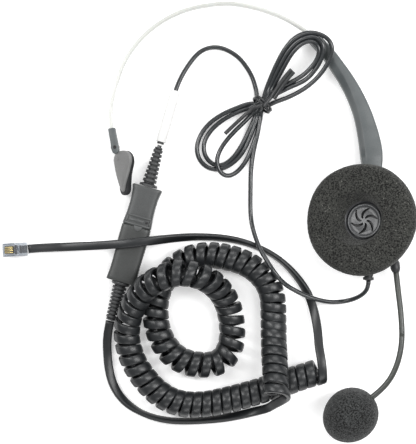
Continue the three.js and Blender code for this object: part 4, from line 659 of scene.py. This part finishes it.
def tube_between(a, b, rx, ry, hole, n=32, bevel=0.15, swell=None):
    a, b = Vector(a), Vector(b)
    z = (b - a).normalized(); x = Vector((z.y, -z.x, 0)).normalized(); y = z.cross(x)
    L = (b - a).length
    rows = []
    for t, kx, ky in ((0.0, hole, hole), (0.0, rx - bevel, ry - bevel), (bevel, rx, ry), (L * 0.25, rx, ry), (L * 0.5, rx * 0.985, ry), (L * 0.75, rx, ry), (L - bevel, rx, ry), (L, rx - bevel, ry - bevel), (L, hole, hole)):
        rows.append([M(a + z * t + x * (kx * math.cos(2 * math.pi * i / n)) + y * (ky * math.sin(2 * math.pi * i / n))) for i in range(n)])
    return rings_mesh(rows, closed=True)
sd_ = (Vector(SLEEVE[1]) - Vector(SLEEVE[0])).normalized()
V, F = tube_between(SLEEVE[0], Vector(SLEEVE[1]) + sd_ * 1.6, 2.9, 2.2, 1.5)
slv = make("paper_sleeve", V, F, "sleeve", "qd_upper", angle=50)
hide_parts("label_sleeve")
r0_, r1_ = Vector(RING[0]), Vector(RING[1]); rd_ = (r1_ - r0_).normalized()
V, F = tube_between(r0_ + rd_ * 0.95, r0_ + rd_ * 1.95, 2.05, 2.05, 1.45)
rg = make("sleeve_ring", V, F, "rubber", "qd_upper", angle=50)
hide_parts("sleeve_end_ring")
V, F = tube_between(r0_ + rd_ * 2.05, r0_ + rd_ * 2.9, 1.6, 1.6, 1.38)
make("sleeve_collar", V, F, "sleeve", "qd_upper", angle=50)

# ------------------------------------------------------------ modular plug
PI_, PN_ = Vector((-101.79, -15.24, 0)), Vector((-115.95, -15.97, 0))
pxd = (PI_ - PN_).normalized(); pyd = Vector((-pxd.y, pxd.x, 0))
PL = (PI_ - PN_).length - 0.4
def PG(x, y, z): return M(PN_ + pxd * x + pyd * y + Vector((0, 0, z)))
def prism(outline, y0, y1, bev=0.18):
    """outline in (x, z), extruded across the plug with a small bevel"""
    cxm = sum(p[0] for p in outline) / len(outline); czm = sum(p[1] for p in outline) / len(outline)
    def ins(kk): return [(x - math.copysign(min(kk, abs(x - cxm)), x - cxm), z - math.copysign(min(kk, abs(z - czm)), z - czm)) for x, z in outline]
    rows = [[PG(x, y, z) for x, z in o] for y, o in ((y0, ins(bev)), (y0 + bev, ins(0)), (y1 - bev, ins(0)), (y1, ins(bev)))]
    return rings_mesh(rows)
parts = [prism([(0, 3.1), (3, 3.1), (9, 3.0), (PL, 2.9), (PL, 5.5), (PL, 8.1), (PL - 5.2, 8.1), (PL - 5.4, 8.9), (6.4, 9.0), (6.4, 7.2), (0.7, 7.2), (0.7, 8.6), (0, 8.6), (0, 5.5)], -3.8, 3.8)]
for y in (-3.3, 3.3):
    w = 0.2 if abs(y) < 2 else 0.45
    parts.append(prism([(0.75, 7.0), (6.5, 7.0), (6.5, 8.9), (0.75, 8.9)], y - w, y + w, 0.05))
V, F = join_lists(parts)
plug = make("plug_shell", V, F, "clear", "root", angle=35)
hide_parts("plug_body")
V, F = join_lists([prism([(1.0, 6.6), (3.0, 6.5), (6.2, 6.6), (6.2, 8.1), (5.8, 8.45), (1.5, 8.45), (1.0, 8.1)], y - 0.27, y + 0.27, 0.04) for y in (-1.53, -0.51, 0.51, 1.53)])
con = make("plug_contacts", V, F, "gold", "root", angle=35)
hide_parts("plug_contact_1", "plug_contact_2", "plug_contact_3", "plug_contact_4")
V, F = prism([(0.2, 2.72), (0.2, 1.95), (3.4, 1.5), (PL - 0.4, 0.35), (PL - 0.4, 1.1), (3.4, 2.3)], -1.7, 1.7, 0.12)
lat = make("plug_latch_arm", V, F, "clear", "plug_latch", angle=35)
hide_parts("plug_latch")
# dark blocks in the plug's gaps (between the contacts, across behind them and near the cord end): painted shade of the
# slots in the clear body
V, F = join_lists([prism([(1.1, 7.25), (6.1, 7.25), (6.1, 8.0), (1.1, 8.0)], y - 0.2, y + 0.2, 0.05) for y in (-2.1, -1.02, 0.0, 1.02, 2.1)] + [prism([(6.9, 7.6), (8.0, 7.6), (8.0, 9.02), (6.9, 9.02)], -2.6, 2.6, 0.08), prism([(PL - 4.2, 6.4), (PL - 3.3, 6.4), (PL - 3.0, 8.13), (PL - 4.2, 8.13)], -2.2, 2.2, 0.08)])
make("plug_gap_painted_shade", V, F, "dark", "root", angle=35)
# the cord's jacket inside the plug, and its four cores
V, F = join_lists([rings_mesh([[PG(x, 2.1 * math.cos(2 * math.pi * i / 16), 5.5 + 1.1 * math.sin(2 * math.pi * i / 16)) for i in range(16)] for x in (PL - 3.0, PL - 1.5, PL - 0.05)])] +
                  [rings_mesh([[PG(x, y * (1 if x < 7 else 0.8) + 0.36 * math.cos(2 * math.pi * i / 10), 5.6 + (0.25 if x < 5 else 0) + 0.36 * math.sin(2 * math.pi * i / 10)) for i in range(10)] for x in (2.0, 4.0, 6.5, PL - 6.2)]) for y in (-1.53, -0.51, 0.51, 1.53)])
make("plug_cores", V, F, "coil", "root")

# ---------------------------------------------------------------- headband
def band_rings(pts, t, z0, z1, r=0.35):
    p = catmull([[a, b, 0] for a, b in pts], 4)
    tg = tangents(p)
    rings = []
    for i in range(len(p)):
        nx, ny = -tg[i][1], tg[i][0]
        h = t / 2
        ring = []
        for u, z in ((h, z0 + r), (h, z1 - r), (h - r * 0.3, z1 - r * 0.3), (h - r, z1), (-h + r, z1), (-h + r * 0.3, z1 - r * 0.3), (-h, z1 - r), (-h, z0 + r), (-h + r * 0.3, z0 + r * 0.3), (-h + r, z0), (h - r, z0), (h - r * 0.3, z0 + r * 0.3)):
            ring.append(M((p[i][0] + nx * u, p[i][1] + ny * u, z)))
        rings.append(ring)
    return rings
V, F = rings_mesh(band_rings(BAND, 1.65, 1.2, 8.8))
strip = make("band_strip", V, F, "strip", "headband", angle=50)
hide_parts("headband_strip")

# temple stem with the rivet and its slot
rv = Vector((RIVET[0], RIVET[1], 0)); st = Vector((STEM_TOP[0], STEM_TOP[1], 0))
dn = (rv - st).normalized(); ac = Vector((-dn.y, dn.x, 0))
slen = (rv - st).length
def SG(x, y, z):
    """across, along (towards the pad from the rivet is positive), height"""
    return M(rv + ac * x + dn * y + Vector((0, 0, z)))
rows = []
def stem_ring(z, k):
    ring = []
    base = [(-1.95, -slen + 1.3), (-1.75, -slen + 0.85), (0, -slen + 0.75), (1.75, -slen + 0.85), (1.95, -slen + 1.3), (1.97, -slen / 2), (2.0, -1.6), (2.15, 0), (2.1, 1.6), (1.6, 3.0), (0.7, 3.6), (-0.7, 3.6), (-1.6, 3.0), (-2.1, 1.6), (-2.15, 0), (-2.0, -1.6), (-1.97, -slen / 2)]
    for x, y in base:
        ring.append(SG(x - math.copysign(min(k, abs(x)), x), y + (k if y < -slen / 2 - 1 else -k if y > 1 else 0), z))
    return ring
for z, k in ((0.0, 0.5), (0.12, 0.22), (0.5, 0.0), (3.1, 0.0), (3.3, 0.22)): rows.append(stem_ring(z, k))
rows2 = [stem_ring(z, k) for z, k in ((6.75, 0.22), (6.95, 0.0), (9.0, 0.0), (9.38, 0.22), (9.5, 0.5))]
cut = lambda y0, y1, z0, z1: rings_mesh([[SG(x, y, z) for x, y in ((-2.0, y0), (2.0, y0), (2.0, y1), (-2.0, y1))] for z in (z0, z1)])
V, F = join_lists([rings_mesh(rows), rings_mesh(rows2), cut(-slen + 1.5, -3.7, 3.2, 6.85)])
stem = make("band_end_stem", V, F, "grey", "headband", angle=40)
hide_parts("temple_stem")
prof = [(0, 9.75), (0.75, 9.75), (0.85, 9.72), (0.9, 9.6), (0.9, 9.3)]
V, F = lathe([(0, 0.3), (0.75, 0.3), (0.75, 9.3), (0.95, 9.45), (1.0, 9.56), (0.85, 9.66), (0.5, 9.6), (0, 9.55)], 28)
V = [M(rv + Vector(v)) for v in V]
riv = make("pad_rivet", V, F, "black", "headband", angle=50)
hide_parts("temple_rivet")
# temple plate (a leaf, slightly crowned) and its soft pad
PT = Matrix.Translation(Vector(PAD_C)) @ Matrix.Rotation(math.radians(4), 4, 'Z') @ Matrix.Rotation(math.radians(-50), 4, 'Y')
LEAF = [[3.5, 12.2], [7.0, 11.0], [9.2, 8.6], [9.0, 5.6], [7.4, 2.4], [5.9, -0.6], [3.8, -4], [2.0, -7.1], [0.8, -10.0], [0, -10.9], [-0.9, -10.2], [-2.6, -7.1], [-4.0, -3.5], [-5.1, 0], [-5.8, 4], [-6.1, 8.2], [-3.5, 11.3]]
PAD = [[3, 12], [6, 9.5], [6.5, 6], [5.0, 2], [3.7, -2.2], [2.7, -5.5], [1.7, -8.4], [0.9, -11.4], [-0.2, -12.6], [-2.2, -12.8], [-4.2, -11.6], [-5, -8], [-5.4, -2], [-5.8, 4], [-5.4, 8.6], [-2.4, 11.4]]
def smooth_loop(pts, n_per=5):
    q = [np.array([p[0], p[1], 0.0]) for p in pts]
    ext = q[-2:] + q + q[:3]
    c = catmull(ext, n_per)
    return c[2 * n_per: (2 + len(q)) * n_per, :2]
def crowned(loop, levels, top_rings=6, crown=0.6, side=1.0):
    """levels: (z, inset) from the bottom edge up; then the top closes over in crowned rings"""
    c = loop.mean(axis=0)
    r = np.linalg.norm(loop - c, axis=1)
    def ring(k, z): return [(float(c[0] + (p[0] - c[0]) * (1 - k / rr)), float(c[1] + (p[1] - c[1]) * (1 - k / rr)), z) for p, rr in zip(loop, r)]
    rows = [ring(k, z) for z, k in levels]
    zt = levels[-1][0]; kt = levels[-1][1]
    out = list(rows)
    for i in range(1, top_rings):
        f = i / top_rings
        fac = 1 - f
        out.append([(float(c[0] + (x - c[0]) * fac), float(c[1] + (y - c[1]) * fac), zt + side * crown * (1 - fac * fac)) for x, y, _ in rows[-1]])
    V, F = rings_mesh(out)
    return V, F
lp = smooth_loop(LEAF)
V, F = crowned(lp, [(0.0, 0.5), (0.1, 0.15), (0.5, 0.0), (1.2, 0.0), (1.6, 0.25), (1.8, 0.7)], 7, 0.35)
leaf = [M(PT @ Vector(v)) for v in V]
nk = []
tipw = PT @ Vector((-1.5, 7.5, 0.9))
for i in range(9):
    t = i / 8
    x = rv.x + (tipw.x - rv.x) * t; y = rv.y + (tipw.y - rv.y) * t
    z = 5.05 + (tipw.z - 5.05) * max(0.0, (t - 0.5) / 0.5) ** 1.3
    nk.append([M((x + u, y, z + v)) for u, v in superellipse(1.55, 1.45, 4.0, 16)])
eye = lathe([(0.85, 3.6), (2.2, 3.6), (2.45, 3.85), (2.45, 6.25), (2.2, 6.5), (0.85, 6.5), (0.85, 3.6)], 36)
eyeV = [tuple(M(rv + Vector(v))) for v in eye[0]]
V, F = join_lists([(leaf, F), rings_mesh(nk), (eyeV, eye[1])])
plate = make("pad_plate", V, F, "light", "temple", angle=45)
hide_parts("temple_plate")
lp = smooth_loop(PAD)
V, F = crowned(lp, [(-0.35, 0.5), (-0.6, 0.1), (-1.4, 0.0), (-2.6, 0.0), (-3.4, 0.3), (-4.0, 1.0)], 8, 0.45, side=-1.0)
V = [M(PT @ Vector(v)) for v in V]
tp = make("pad_soft", V, F, "pad", "temple")
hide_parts("temple_pad")

# --------------------------------------------------------------------- arm
Ov = Vector(CAP_O); Wv = Vector(CAP_W).normalized(); Uv = Vector((Wv.z, 0, -Wv.x)).normalized(); Vv = Wv.cross(Uv).normalized()
def CP(u, v, w): return M(Ov + Uv * u + Vv * v + Wv * w)
st_ = np.array(ARM, float)
fine = np.stack([np.interp(np.linspace(0, len(st_) - 1, 90), np.arange(len(st_)), st_[:, k]) for k in range(st_.shape[1])], 1)
cen = catmull([[a[0], a[1], 0] for a in ARM], 10)
cen = resample(cen, 1.0)
d_st = np.r_[0, np.cumsum(np.linalg.norm(np.diff(st_[:, :2], axis=0), axis=1))]
d_c = np.r_[0, np.cumsum(np.linalg.norm(np.diff(cen[:, :2], axis=0), axis=1))]
d_c = d_c / d_c[-1] * d_st[-1]
keep = [i for i in range(len(cen)) if (CP(0, 0, 0) - M(cen[i])).length > -1]
rings = []
tg = tangents(cen)
def smooth_interp(col, d):
    v = np.interp(d, d_st, st_[:, col])
    k = np.ones(7) / 7
    vp = np.r_[[v[0]] * 3, v, [v[-1]] * 3]
    return np.convolve(vp, k, "valid")
Wd_, Fr_, Z0_, Z1_, Dr_ = [smooth_interp(c, d_c) for c in (2, 3, 4, 5, 6)]
Dr_ = Dr_ * np.interp(d_c[-1] - d_c, [0, 5.0, 14], [0.25, 0.35, 1.0])
Z1_ = Z1_ + np.interp(d_c[-1] - d_c, [0, 6.0, 16, 24], [1.35, 1.35, 0.35, 0.0])
side = -1.0
for i in range(len(cen)):
    nx, ny = -tg[i][1] , tg[i][0]
    # outer edge: away from the slide circle's centre
    if nx * (cen[i][0] - 11.71) + ny * (cen[i][1] - 50.39) < 0: nx, ny = -nx, -ny
    h, lo, hi, f, drop = Wd_[i] / 2, Z0_[i], Z1_[i], Fr_[i], Dr_[i]
    end = 0.0
    e0 = min(1.0, d_c[i] / 1.2)
    sh = 0.55 * (1 - e0) ** 1.5
    e1 = 1.0
    prof = [(h, lo + 0.8), (h, hi - 1.3), (h - 0.15, hi - 0.7), (h - 0.55, hi - 0.22), (h - 1.3, hi), (-h + 2 * h * f + 0.5, hi - 0.02), (-h + 2 * h * f, hi - 0.12),
            (-h + 2 * h * f * 0.85, hi - drop * 0.22), (-h + 2 * h * f * 0.5, hi - drop * 0.58), (-h + 2 * h * f * 0.2, hi - drop * 0.86), (-h + 0.12, hi - drop - 0.1), (-h, hi - drop - 0.4), (-h, lo + 0.8), (-h + 0.25, lo + 0.25), (-h + 0.8, lo), (h - 0.8, lo), (h - 0.25, lo + 0.25)]
    zc = (lo + hi) / 2
    rings.append([M((cen[i][0] + nx * (u * (1 - sh * 0.35)), cen[i][1] + ny * (u * (1 - sh * 0.35)), zc + (z - zc) * (1 - sh * 0.25))) for u, z in prof])
V, F = rings_mesh(rings)
arm = make("arm_body", V, F, "grey", "root", angle=32)
def boolean(ob, cutters):
    for c in cutters:
        md = ob.modifiers.new("cut", "BOOLEAN"); md.operation = "DIFFERENCE"; md.solver = "EXACT"; md.object = c
        bpy.context.view_layer.update()
        dg = bpy.context.evaluated_depsgraph_get()
        me = bpy.data.meshes.new_from_object(ob.evaluated_get(dg))
        old = ob.data
        ob.modifiers.clear(); ob.data = me
        bpy.data.meshes.remove(old)
    for c in cutters:
        bpy.data.objects.remove(c)
def cutter(rows):
    V, F = rings_mesh(rows)
    return make("cutter", V, F, "grey", None, smooth=False)
arc = []
CX, CY, RR = 11.71, 50.39, 72.223
for i in range(22):
    t = math.radians(34 + 25.5 * i / 21)
    arc.append([M((CX + r * math.sin(t), CY + r * math.cos(t), z)) for r, z in ((RR - 0.95, 0.9), (RR + 0.95, 0.9), (RR + 0.95, 9.1), (RR - 0.95, 9.1))])
boxc = lambda u0, u1, v0, v1, w0, w1: cutter([[CP(u, v, w) for u, v in ((u0, v0), (u1, v0), (u1, v1), (u0, v1))] for w in (w0, w1)])
cuts = [cutter(arc), boxc(-0.6, 4.6, 28, 37.4, -15.6, -0.45), boxc(-14, 18, 18, 30.6, -18, 12)]
cuts[1].name = "cutter_b"; cuts[2].name = "cutter_c"
boolean(arm, cuts)
def sharpen(ob, deg):
    bm = bmesh.new(); bm.from_mesh(ob.data)
    bmesh.ops.recalc_face_normals(bm, faces=bm.faces)
    for f in bm.faces: f.smooth = True
    lim = math.radians(deg)
    for e in bm.edges:
        if len(e.link_faces) == 2: e.smooth = e.calc_face_angle(0.0) <= lim
    bm.to_mesh(ob.data); bm.free()
sharpen(arm, 34)
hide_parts("arm_top_shell", "arm_bottom_shell")

# --------------------------------------------------------------- ear capsule
def cap_lathe(name, prof, mat, seg=96, angle=40, body="capsule", post=None):
    V, F = lathe(prof, seg)
    if post: V = [post(v) for v in V]
    V = [CP(*v) for v in V]
    return make(name, V, F, mat, body, angle=angle)
def bump_noise(x, y, z, s):
    return (math.sin(x * s + 1.3) * math.sin(y * s * 1.13 + 2.1) * math.sin(z * s * 0.97 + 0.7))
def arc_prof(cx_, cz_, r, a0, a1, n):
    return [(cx_ + r * math.cos(math.radians(a0 + (a1 - a0) * i / n)), cz_ + r * math.sin(math.radians(a0 + (a1 - a0) * i / n))) for i in range(n + 1)]
fp = [(11.0, 2.8), (28.6, 2.8)] + arc_prof(28.3, 5.6, 2.6, -85, -20, 5) + [(31.25, 6.4), (31.5, 8.0), (31.35, 9.6), (30.8, 11.0), (29.8, 12.3), (28.2, 13.3), (26.2, 13.85), (23.8, 14.0), (21.2, 14.0), (18.8, 13.95), (17.0, 13.8), (15.7, 13.45), (14.9, 12.8), (14.3, 11.7), (13.6, 10.3), (12.9, 8.8), (12.1, 7.2), (11.4, 5.8), (11.0, 4.4)]
fp = [fp[0]] + fp[1:] + [fp[0]]
fine_fp = []
for a, b in zip(fp[:-1], fp[1:]):
    m_ = max(1, int(math.hypot(b[0] - a[0], b[1] - a[1]) / 0.55))
    fine_fp += [(a[0] + (b[0] - a[0]) * j / m_, a[1] + (b[1] - a[1]) * j / m_) for j in range(m_)]
fine_fp.append(fine_fp[0])
rngf = random.Random(11)
def foam_jitter(amp, seed):
    r_ = random.Random(seed)
    def f(v):
        x, y, z = v
        if z < 2.9: return v
        k = amp * (0.55 * bump_noise(x, y, z, 1.7) + 0.45 * bump_noise(x + 3, y - 5, z + 1, 3.1)) + amp * 0.6 * (r_.random() - 0.5)
        rr = math.hypot(x, y) or 1
        th = math.atan2(y, x)
        soft = 1 + (0.006 * math.sin(3 * th + 0.8) + 0.005 * math.sin(5 * th + 2.0) - 0.004) * min(1.0, max(0.0, (rr - 18) / 10)) * min(1.0, (z - 2.9) / 3)
        lean = 2.0 * min(1.0, max(0.0, (20 - rr) / 6)) * min(1.0, max(0.0, (z - 4) / 9))
        return (x * (1 - k * 0.02) * soft - lean, y * (1 - k * 0.02) * soft, z - abs(k) * 0.5)
    return f
cush = cap_lathe("ear_foam", fine_fp, "foam", seg=150, angle=None, post=foam_jitter(0.22, 5))
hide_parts("ear_cushion")

# dish around the grille
V, F = lathe([(10.2, 0.35), (28.3, 0.35), (28.5, 0.55), (28.5, 2.1), (28.3, 2.35), (12.6, 2.45), (11.6, 2.3), (10.6, 1.7), (10.2, 1.2), (10.2, 0.35)], 96)
bf = make("capsule_front", [CP(*v) for v in V], F, "dark", "capsule", angle=40)
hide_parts("baffle_ring")
# swirl grille: a domed disc with six curved slots
gr = lathe([(0, 0.55), (9.4, 0.55), (9.75, 0.7), (9.75, 1.75), (9.45, 2.05), (8.9, 2.1), (8.3, 1.85), (7.6, 1.62), (6.0, 1.75), (4.0, 2.0), (2.0, 2.15), (0, 2.2)], 96)
grille = make("grille_swirl", [CP(*v) for v in gr[0]], gr[1], "grille", "capsule", angle=50)
gc = []
for i in range(6):
    a0 = math.radians(60 * i + 66)
    rows = []
    for kk in range(13):
        t = kk / 12
        r = 1.5 + 6.1 * t
        a = a0 - math.radians(58 * t)
        hw = 0.16 + 0.62 * math.sin(math.pi * min(1.0, 0.14 + 0.8 * t)) ** 0.8
        nx, ny = math.cos(a + math.radians(48)), math.sin(a + math.radians(48))
        x, y = r * math.cos(a), r * math.sin(a)
        rows.append([CP(x + nx * hw, y + ny * hw, 3.0), CP(x + nx * hw, y + ny * hw, 0.2), CP(x - nx * hw, y - ny * hw, 0.2), CP(x - nx * hw, y - ny * hw, 3.0)])
    c = cutter(rows); c.name = f"cut_{i}"; gc.append(c)
boolean(grille, gc); sharpen(grille, 40)
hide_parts("speaker_grille")

# rear shell with the two bosses
V, F = lathe([(3.3, -8.0), (19.0, -8.0), (20.4, -7.75), (23.6, -6.25), (26.2, -4.2), (27.7, -2.3), (28.4, -0.9), (28.5, -0.2), (28.4, 0.0), (26.6, 0.0), (26.2, -1.0), (24.6, -2.8), (21.8, -4.8), (18.6, -6.3), (3.3, -6.3), (3.3, -8.0)], 96)
rs = make("rear_shell", [CP(*v) for v in V], F, "grey", "capsule", angle=35)
def boss(v0, v1, uc=2.0, wc=-3.6, w=4.0):
    rows = []
    for v, k in ((v0, 0.35), (v0 + (0.35 if v1 > v0 else -0.35), 0.0), (v1 - (0.35 if v1 > v0 else -0.35), 0.0), (v1, 0.35)):
        rows.append([CP(uc + a, v, wc + b - 0.05) for a, b in superellipse(w - k, 3.15 - k, 4.0, 28)])
    return rings_mesh(rows)
V, F = boss(22.5, 29.3); b1 = make("shell_boss_top", V, F, "grey", "capsule", angle=40)
V, F = boss(-22.5, -28.9); b2 = make("shell_boss_low", V, F, "grey", "capsule", angle=40)
sc = []
for k, (x, y) in enumerate([(-11.3, 11.3), (-11.3, -11.3)]):
    c = lathe([(0, -9), (2.3, -9), (2.3, -7.3), (0, -7.3)], 28)
    cc = make(f"cut_s{k}", [CP(v[0] + x, v[1] + y, v[2]) for v in c[0]], c[1], "grey", None, smooth=False); sc.append(cc)
boolean(rs, sc); sharpen(rs, 35)
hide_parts("ear_rear_shell")
def cross_screw(name, centre, r, z0, h, body, place, node_name):
    """pan head with a cross recess, head towards -Z of its own frame"""
    prof = [(0, z0), (r * 0.75, z0), (r * 0.95, z0 + h * 0.25), (r, z0 + h * 0.55), (r, z0 + h), (r * 0.5, z0 + h), (r * 0.5, z0 + h + 2.6), (0, z0 + h + 3.0)]
    c = lathe(prof, 32)
    V, F = c
    ob = make(name, [place(v[0] + centre[0], v[1] + centre[1], v[2]) for v in V], F, "steel", body, angle=40)
    cr = []
    for ang in (0.4, 0.4 + math.pi / 2):
        ca_, sa_ = math.cos(ang), math.sin(ang)
        q = [(-r * 0.62, -r * 0.13), (r * 0.62, -r * 0.13), (r * 0.62, r * 0.13), (-r * 0.62, r * 0.13)]
        cc = cutter([[place(centre[0] + a * ca_ - b * sa_, centre[1] + a * sa_ + b * ca_, z) for a, b in q] for z in (z0 - 0.5, z0 + h * 0.6)])
        cc.name = name + f"_c{ang:.1f}"; cr.append(cc)
    boolean(ob, cr); sharpen(ob, 40)
    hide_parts(node_name)
    return ob
cross_screw("shell_screw_1", (-11.3, 11.3), 1.95, -8.0, 0.4, "capsule", CP, "housing_screw_1")
cross_screw("shell_screw_2", (-11.3, -11.3), 1.95, -8.0, 0.4, "capsule", CP, "housing_screw_2")

# boom turret on the back
bootA = math.atan2(BOOT[1], BOOT[0]); bootR = math.hypot(BOOT[0], BOOT[1])
V, F = lathe([(2.4, -11.0), (2.6, -11.3), (9.4, -11.3), (10.6, -11.0), (11.7, -10.3), (12.0, -9.8), (12.0, -8.6), (11.8, -8.5), (2.9, -8.5), (2.9, -5.6), (1.3, -5.6), (1.3, -10.1), (2.4, -10.1), (2.4, -11.0)], 72)
V = [CP(*v) for v in V]
bar = []
for r, hw, k in ((8.6, 4.0, 0.0), (12, 3.6, 0.0), (bootR - 6, 3.0, 0.0), (bootR - 3.4, 2.6, 0.0), (bootR - 2.2, 2.35, 0.15), (bootR - 1.9, 2.1, 0.35)):
    bar.append([CP(r * math.cos(bootA) - a * math.sin(bootA), r * math.sin(bootA) + a * math.cos(bootA), -9.8 + b) for a, b in superellipse(hw, 1.2 - k, 3.5, 24)])
V, F = join_lists([(V, F), rings_mesh(bar)])
tur = make("turret", V, F, "grey", "boom", angle=38)
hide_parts("boom_turret")
cross_screw("turret_bolt", (0, 0), 2.0, -11.05, 0.7, "boom", CP, "turret_screw")

# cable gland and boom boot, ribbed
def tapered(name, start, direction, rows_, mat, body, seg=36, angle=45):
    z = Vector(direction).normalized(); x = z.orthogonal().normalized(); y = z.cross(x)
    V, F = lathe(rows_, seg)
    V = [M(Vector(start) + x * v[0] + y * v[1] + z * v[2]) for v in V]
    return make(name, V, F, mat, body, angle=angle)
gp = Ov + Uv * 2.0 + Vv * -23.9 + Wv * -3.6
gl = tapered("gland", gp, -Vv, [(0, 0), (1.9, 0), (1.9, 5.2), (2.6, 5.3), (2.7, 5.5), (2.65, 6.6), (2.3, 6.7), (2.3, 7.2), (2.95, 7.3), (3.05, 7.5), (3.05, 8.5), (2.9, 8.75), (2.0, 9.0), (1.38, 9.15), (1.38, 8.0), (0, 8.0)], "rubber", "capsule")
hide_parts("cable_gland")
b0 = Vector(BOOM[0]); bd = (Vector(BOOM[1]) - b0).normalized()
bb = tapered("boom_socket", b0, bd, [(0, -3.6), (2.0, -3.6), (2.45, -3.2), (2.7, -2.2), (2.75, 0.6), (2.55, 1.6), (2.2, 2.5), (2.0, 2.9), (1.6, 3.0), (0, 3.0)], "dark", "boom")
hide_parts("boom_boot")

# ------------------------------------------------------------ boom and mic
bpts = resample(catmull([list(b0 + bd * 2.7)] + BOOM[1:-1], 10), 1.2)
bpts = relax(bpts, 8)
bi = int(np.argmin(np.linalg.norm(bpts - np.array(BOOM[5]), axis=1)))
p1, r1 = round_tube(bpts[:bi + 1], 1.65, 16)
V, F = rings_mesh(r1)
bt1 = make("boom_lower", V, F, "boom", "boom"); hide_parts("boom_tube_lower")
micc = Vector(MIC); head = Vector(BOOM[-2]); maxis = (micc - head).normalized()
up_p = np.vstack([bpts[bi:], np.array([list(head + maxis * 2.0)])])
p2, r2 = round_tube(relax(resample(up_p, 1.2), 3), 1.65, 16)
V, F = rings_mesh(r2)
bt2 = make("boom_upper", V, F, "boom", "mic"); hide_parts("boom_tube_upper")
dd = -(micc - head).length
mh = tapered("mic_body", micc, maxis, [(0, dd + 0.9), (2.2, dd + 0.9), (3.0, dd + 1.3), (4.2, dd + 2.6), (4.6, dd + 3.6), (4.6, 4.4), (4.4, 4.6), (3.9, 4.6), (3.9, -1.6), (0, -1.6)], "dark", "mic", seg=48)
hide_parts("mic_housing")
mp = []
for i in range(60):
    a = math.radians(-82 + 172 * i / 59)
    mp.append((14.8 * math.cos(a) * (1 - 0.03 * math.sin(a)), 16.2 * math.sin(a) - 0.6))
mp[-1] = (0, 15.6)
mprof = [(4.95, 5.0), (4.95, -8.0), (4.95, -12.3), (1.95, -12.7), (1.95, -16.4)] + mp
z_ = maxis; x_ = z_.orthogonal().normalized(); y_ = z_.cross(x_)
V, F = lathe([(0, 5.0)] + mprof, 110)
rj = random.Random(9)
VV = []
for v in V:
    x, y, z = v
    rr = math.hypot(x, y)
    k = 0.0
    if rr > 5.2 or z > 8:
        k = 0.2 * (0.55 * bump_noise(x, y, z, 1.9) + 0.45 * bump_noise(x + 2, y, z - 3, 3.3)) + 0.09 * (rj.random() - 0.5)
    f = 1 - abs(k) * 0.04
    VV.append(M(micc + x_ * x * f + y_ * y * f + z_ * z * f))
ws = make("mic_foam", VV, F, "mic_foam", "mic")
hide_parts("mic_windscreen")

# -------------------------------------------------- CAD nodes that stay
for n, mname in (("speaker_basket", "black"), ("speaker_magnet", "steel"), ("terminal_board", "board"), ("turret_washer", "steel"), ("swivel_link", "link"), ("tilt_pin", "link"),
                 ("arm_screw_1", "steel"), ("arm_screw_2", "steel"), ("band_detent_spring", "steel"), ("mic_element", "steel"), ("qd_upper_contacts", "black"), ("qd_lower_tongue", "black")):
    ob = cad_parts[n]
    for s in ob.material_slots:
        s.link = "OBJECT"; s.material = MAT[mname]

# ------------------------------------------------------------ floor, light
fl = bpy.data.meshes.new("floor")
fl.from_pydata([(-4, -4, -0.0004), (4, -4, -0.0004), (4, 4, -0.0004), (-4, 4, -0.0004)], [], [(0, 1, 2, 3)])
floor = bpy.data.objects.new("floor", fl)
bpy.context.scene.collection.objects.link(floor)
fm = bpy.data.materials.new("floor_white"); fm.use_nodes = True
nt = fm.node_tree; fb = nt.nodes["Principled BSDF"]
tc = nt.nodes.new("ShaderNodeTexCoord"); nn = node(nt, "ShaderNodeTexNoise", Scale=6.0, Detail=2.0)
nt.links.new(tc.outputs["Object"], nn.inputs["Vector"])
nt.links.new(ramp(nt, nn.outputs["Fac"], [(0.3, (0.93, 0.93, 0.93)), (0.7, (0.955, 0.955, 0.955))]), fb.inputs["Base Color"])
fb.inputs["Roughness"].default_value = 0.85
fb.inputs["Specular IOR Level"].default_value = 0.1
fb.inputs["Emission Color"].default_value = (1, 1, 1, 1)
fb.inputs["Emission Strength"].default_value = 0.28
fl.materials.append(fm)
world = bpy.data.worlds.new("world"); bpy.context.scene.world = world
world.use_nodes = True
world.node_tree.nodes["Background"].inputs["Color"].default_value = (1, 1, 1, 1)
world.node_tree.nodes["Background"].inputs["Strength"].default_value = 0.32
def area(name, loc, target, size, power):
    d = bpy.data.lights.new(name, "AREA"); d.shape = "RECTANGLE"; d.size, d.size_y = size; d.energy = power
    o = bpy.data.objects.new(name, d); bpy.context.scene.collection.objects.link(o)
    o.location = loc
    o.rotation_euler = (Vector(target) - Vector(loc)).to_track_quat("-Z", "Y").to_euler()
    return o
area("key", (0.62, 0.12, 0.95), (0.02, 0, 0), (0.28, 0.9), 9.0)
area("left", (-0.65, 0.3, 0.9), (0, 0, 0), (0.22, 0.9), 7.0)
area("back", (0.1, 1.0, 0.8), (0, 0, 0), (0.9, 0.4), 6.0)
area("front", (0.1, -1.0, 0.9), (0, 0, 0), (0.9, 0.4), 4.5)
bpy.context.scene.view_settings.view_transform = "Standard"
bpy.context.scene.view_settings.look = "None"
bpy.context.scene.view_settings.exposure = 0.0
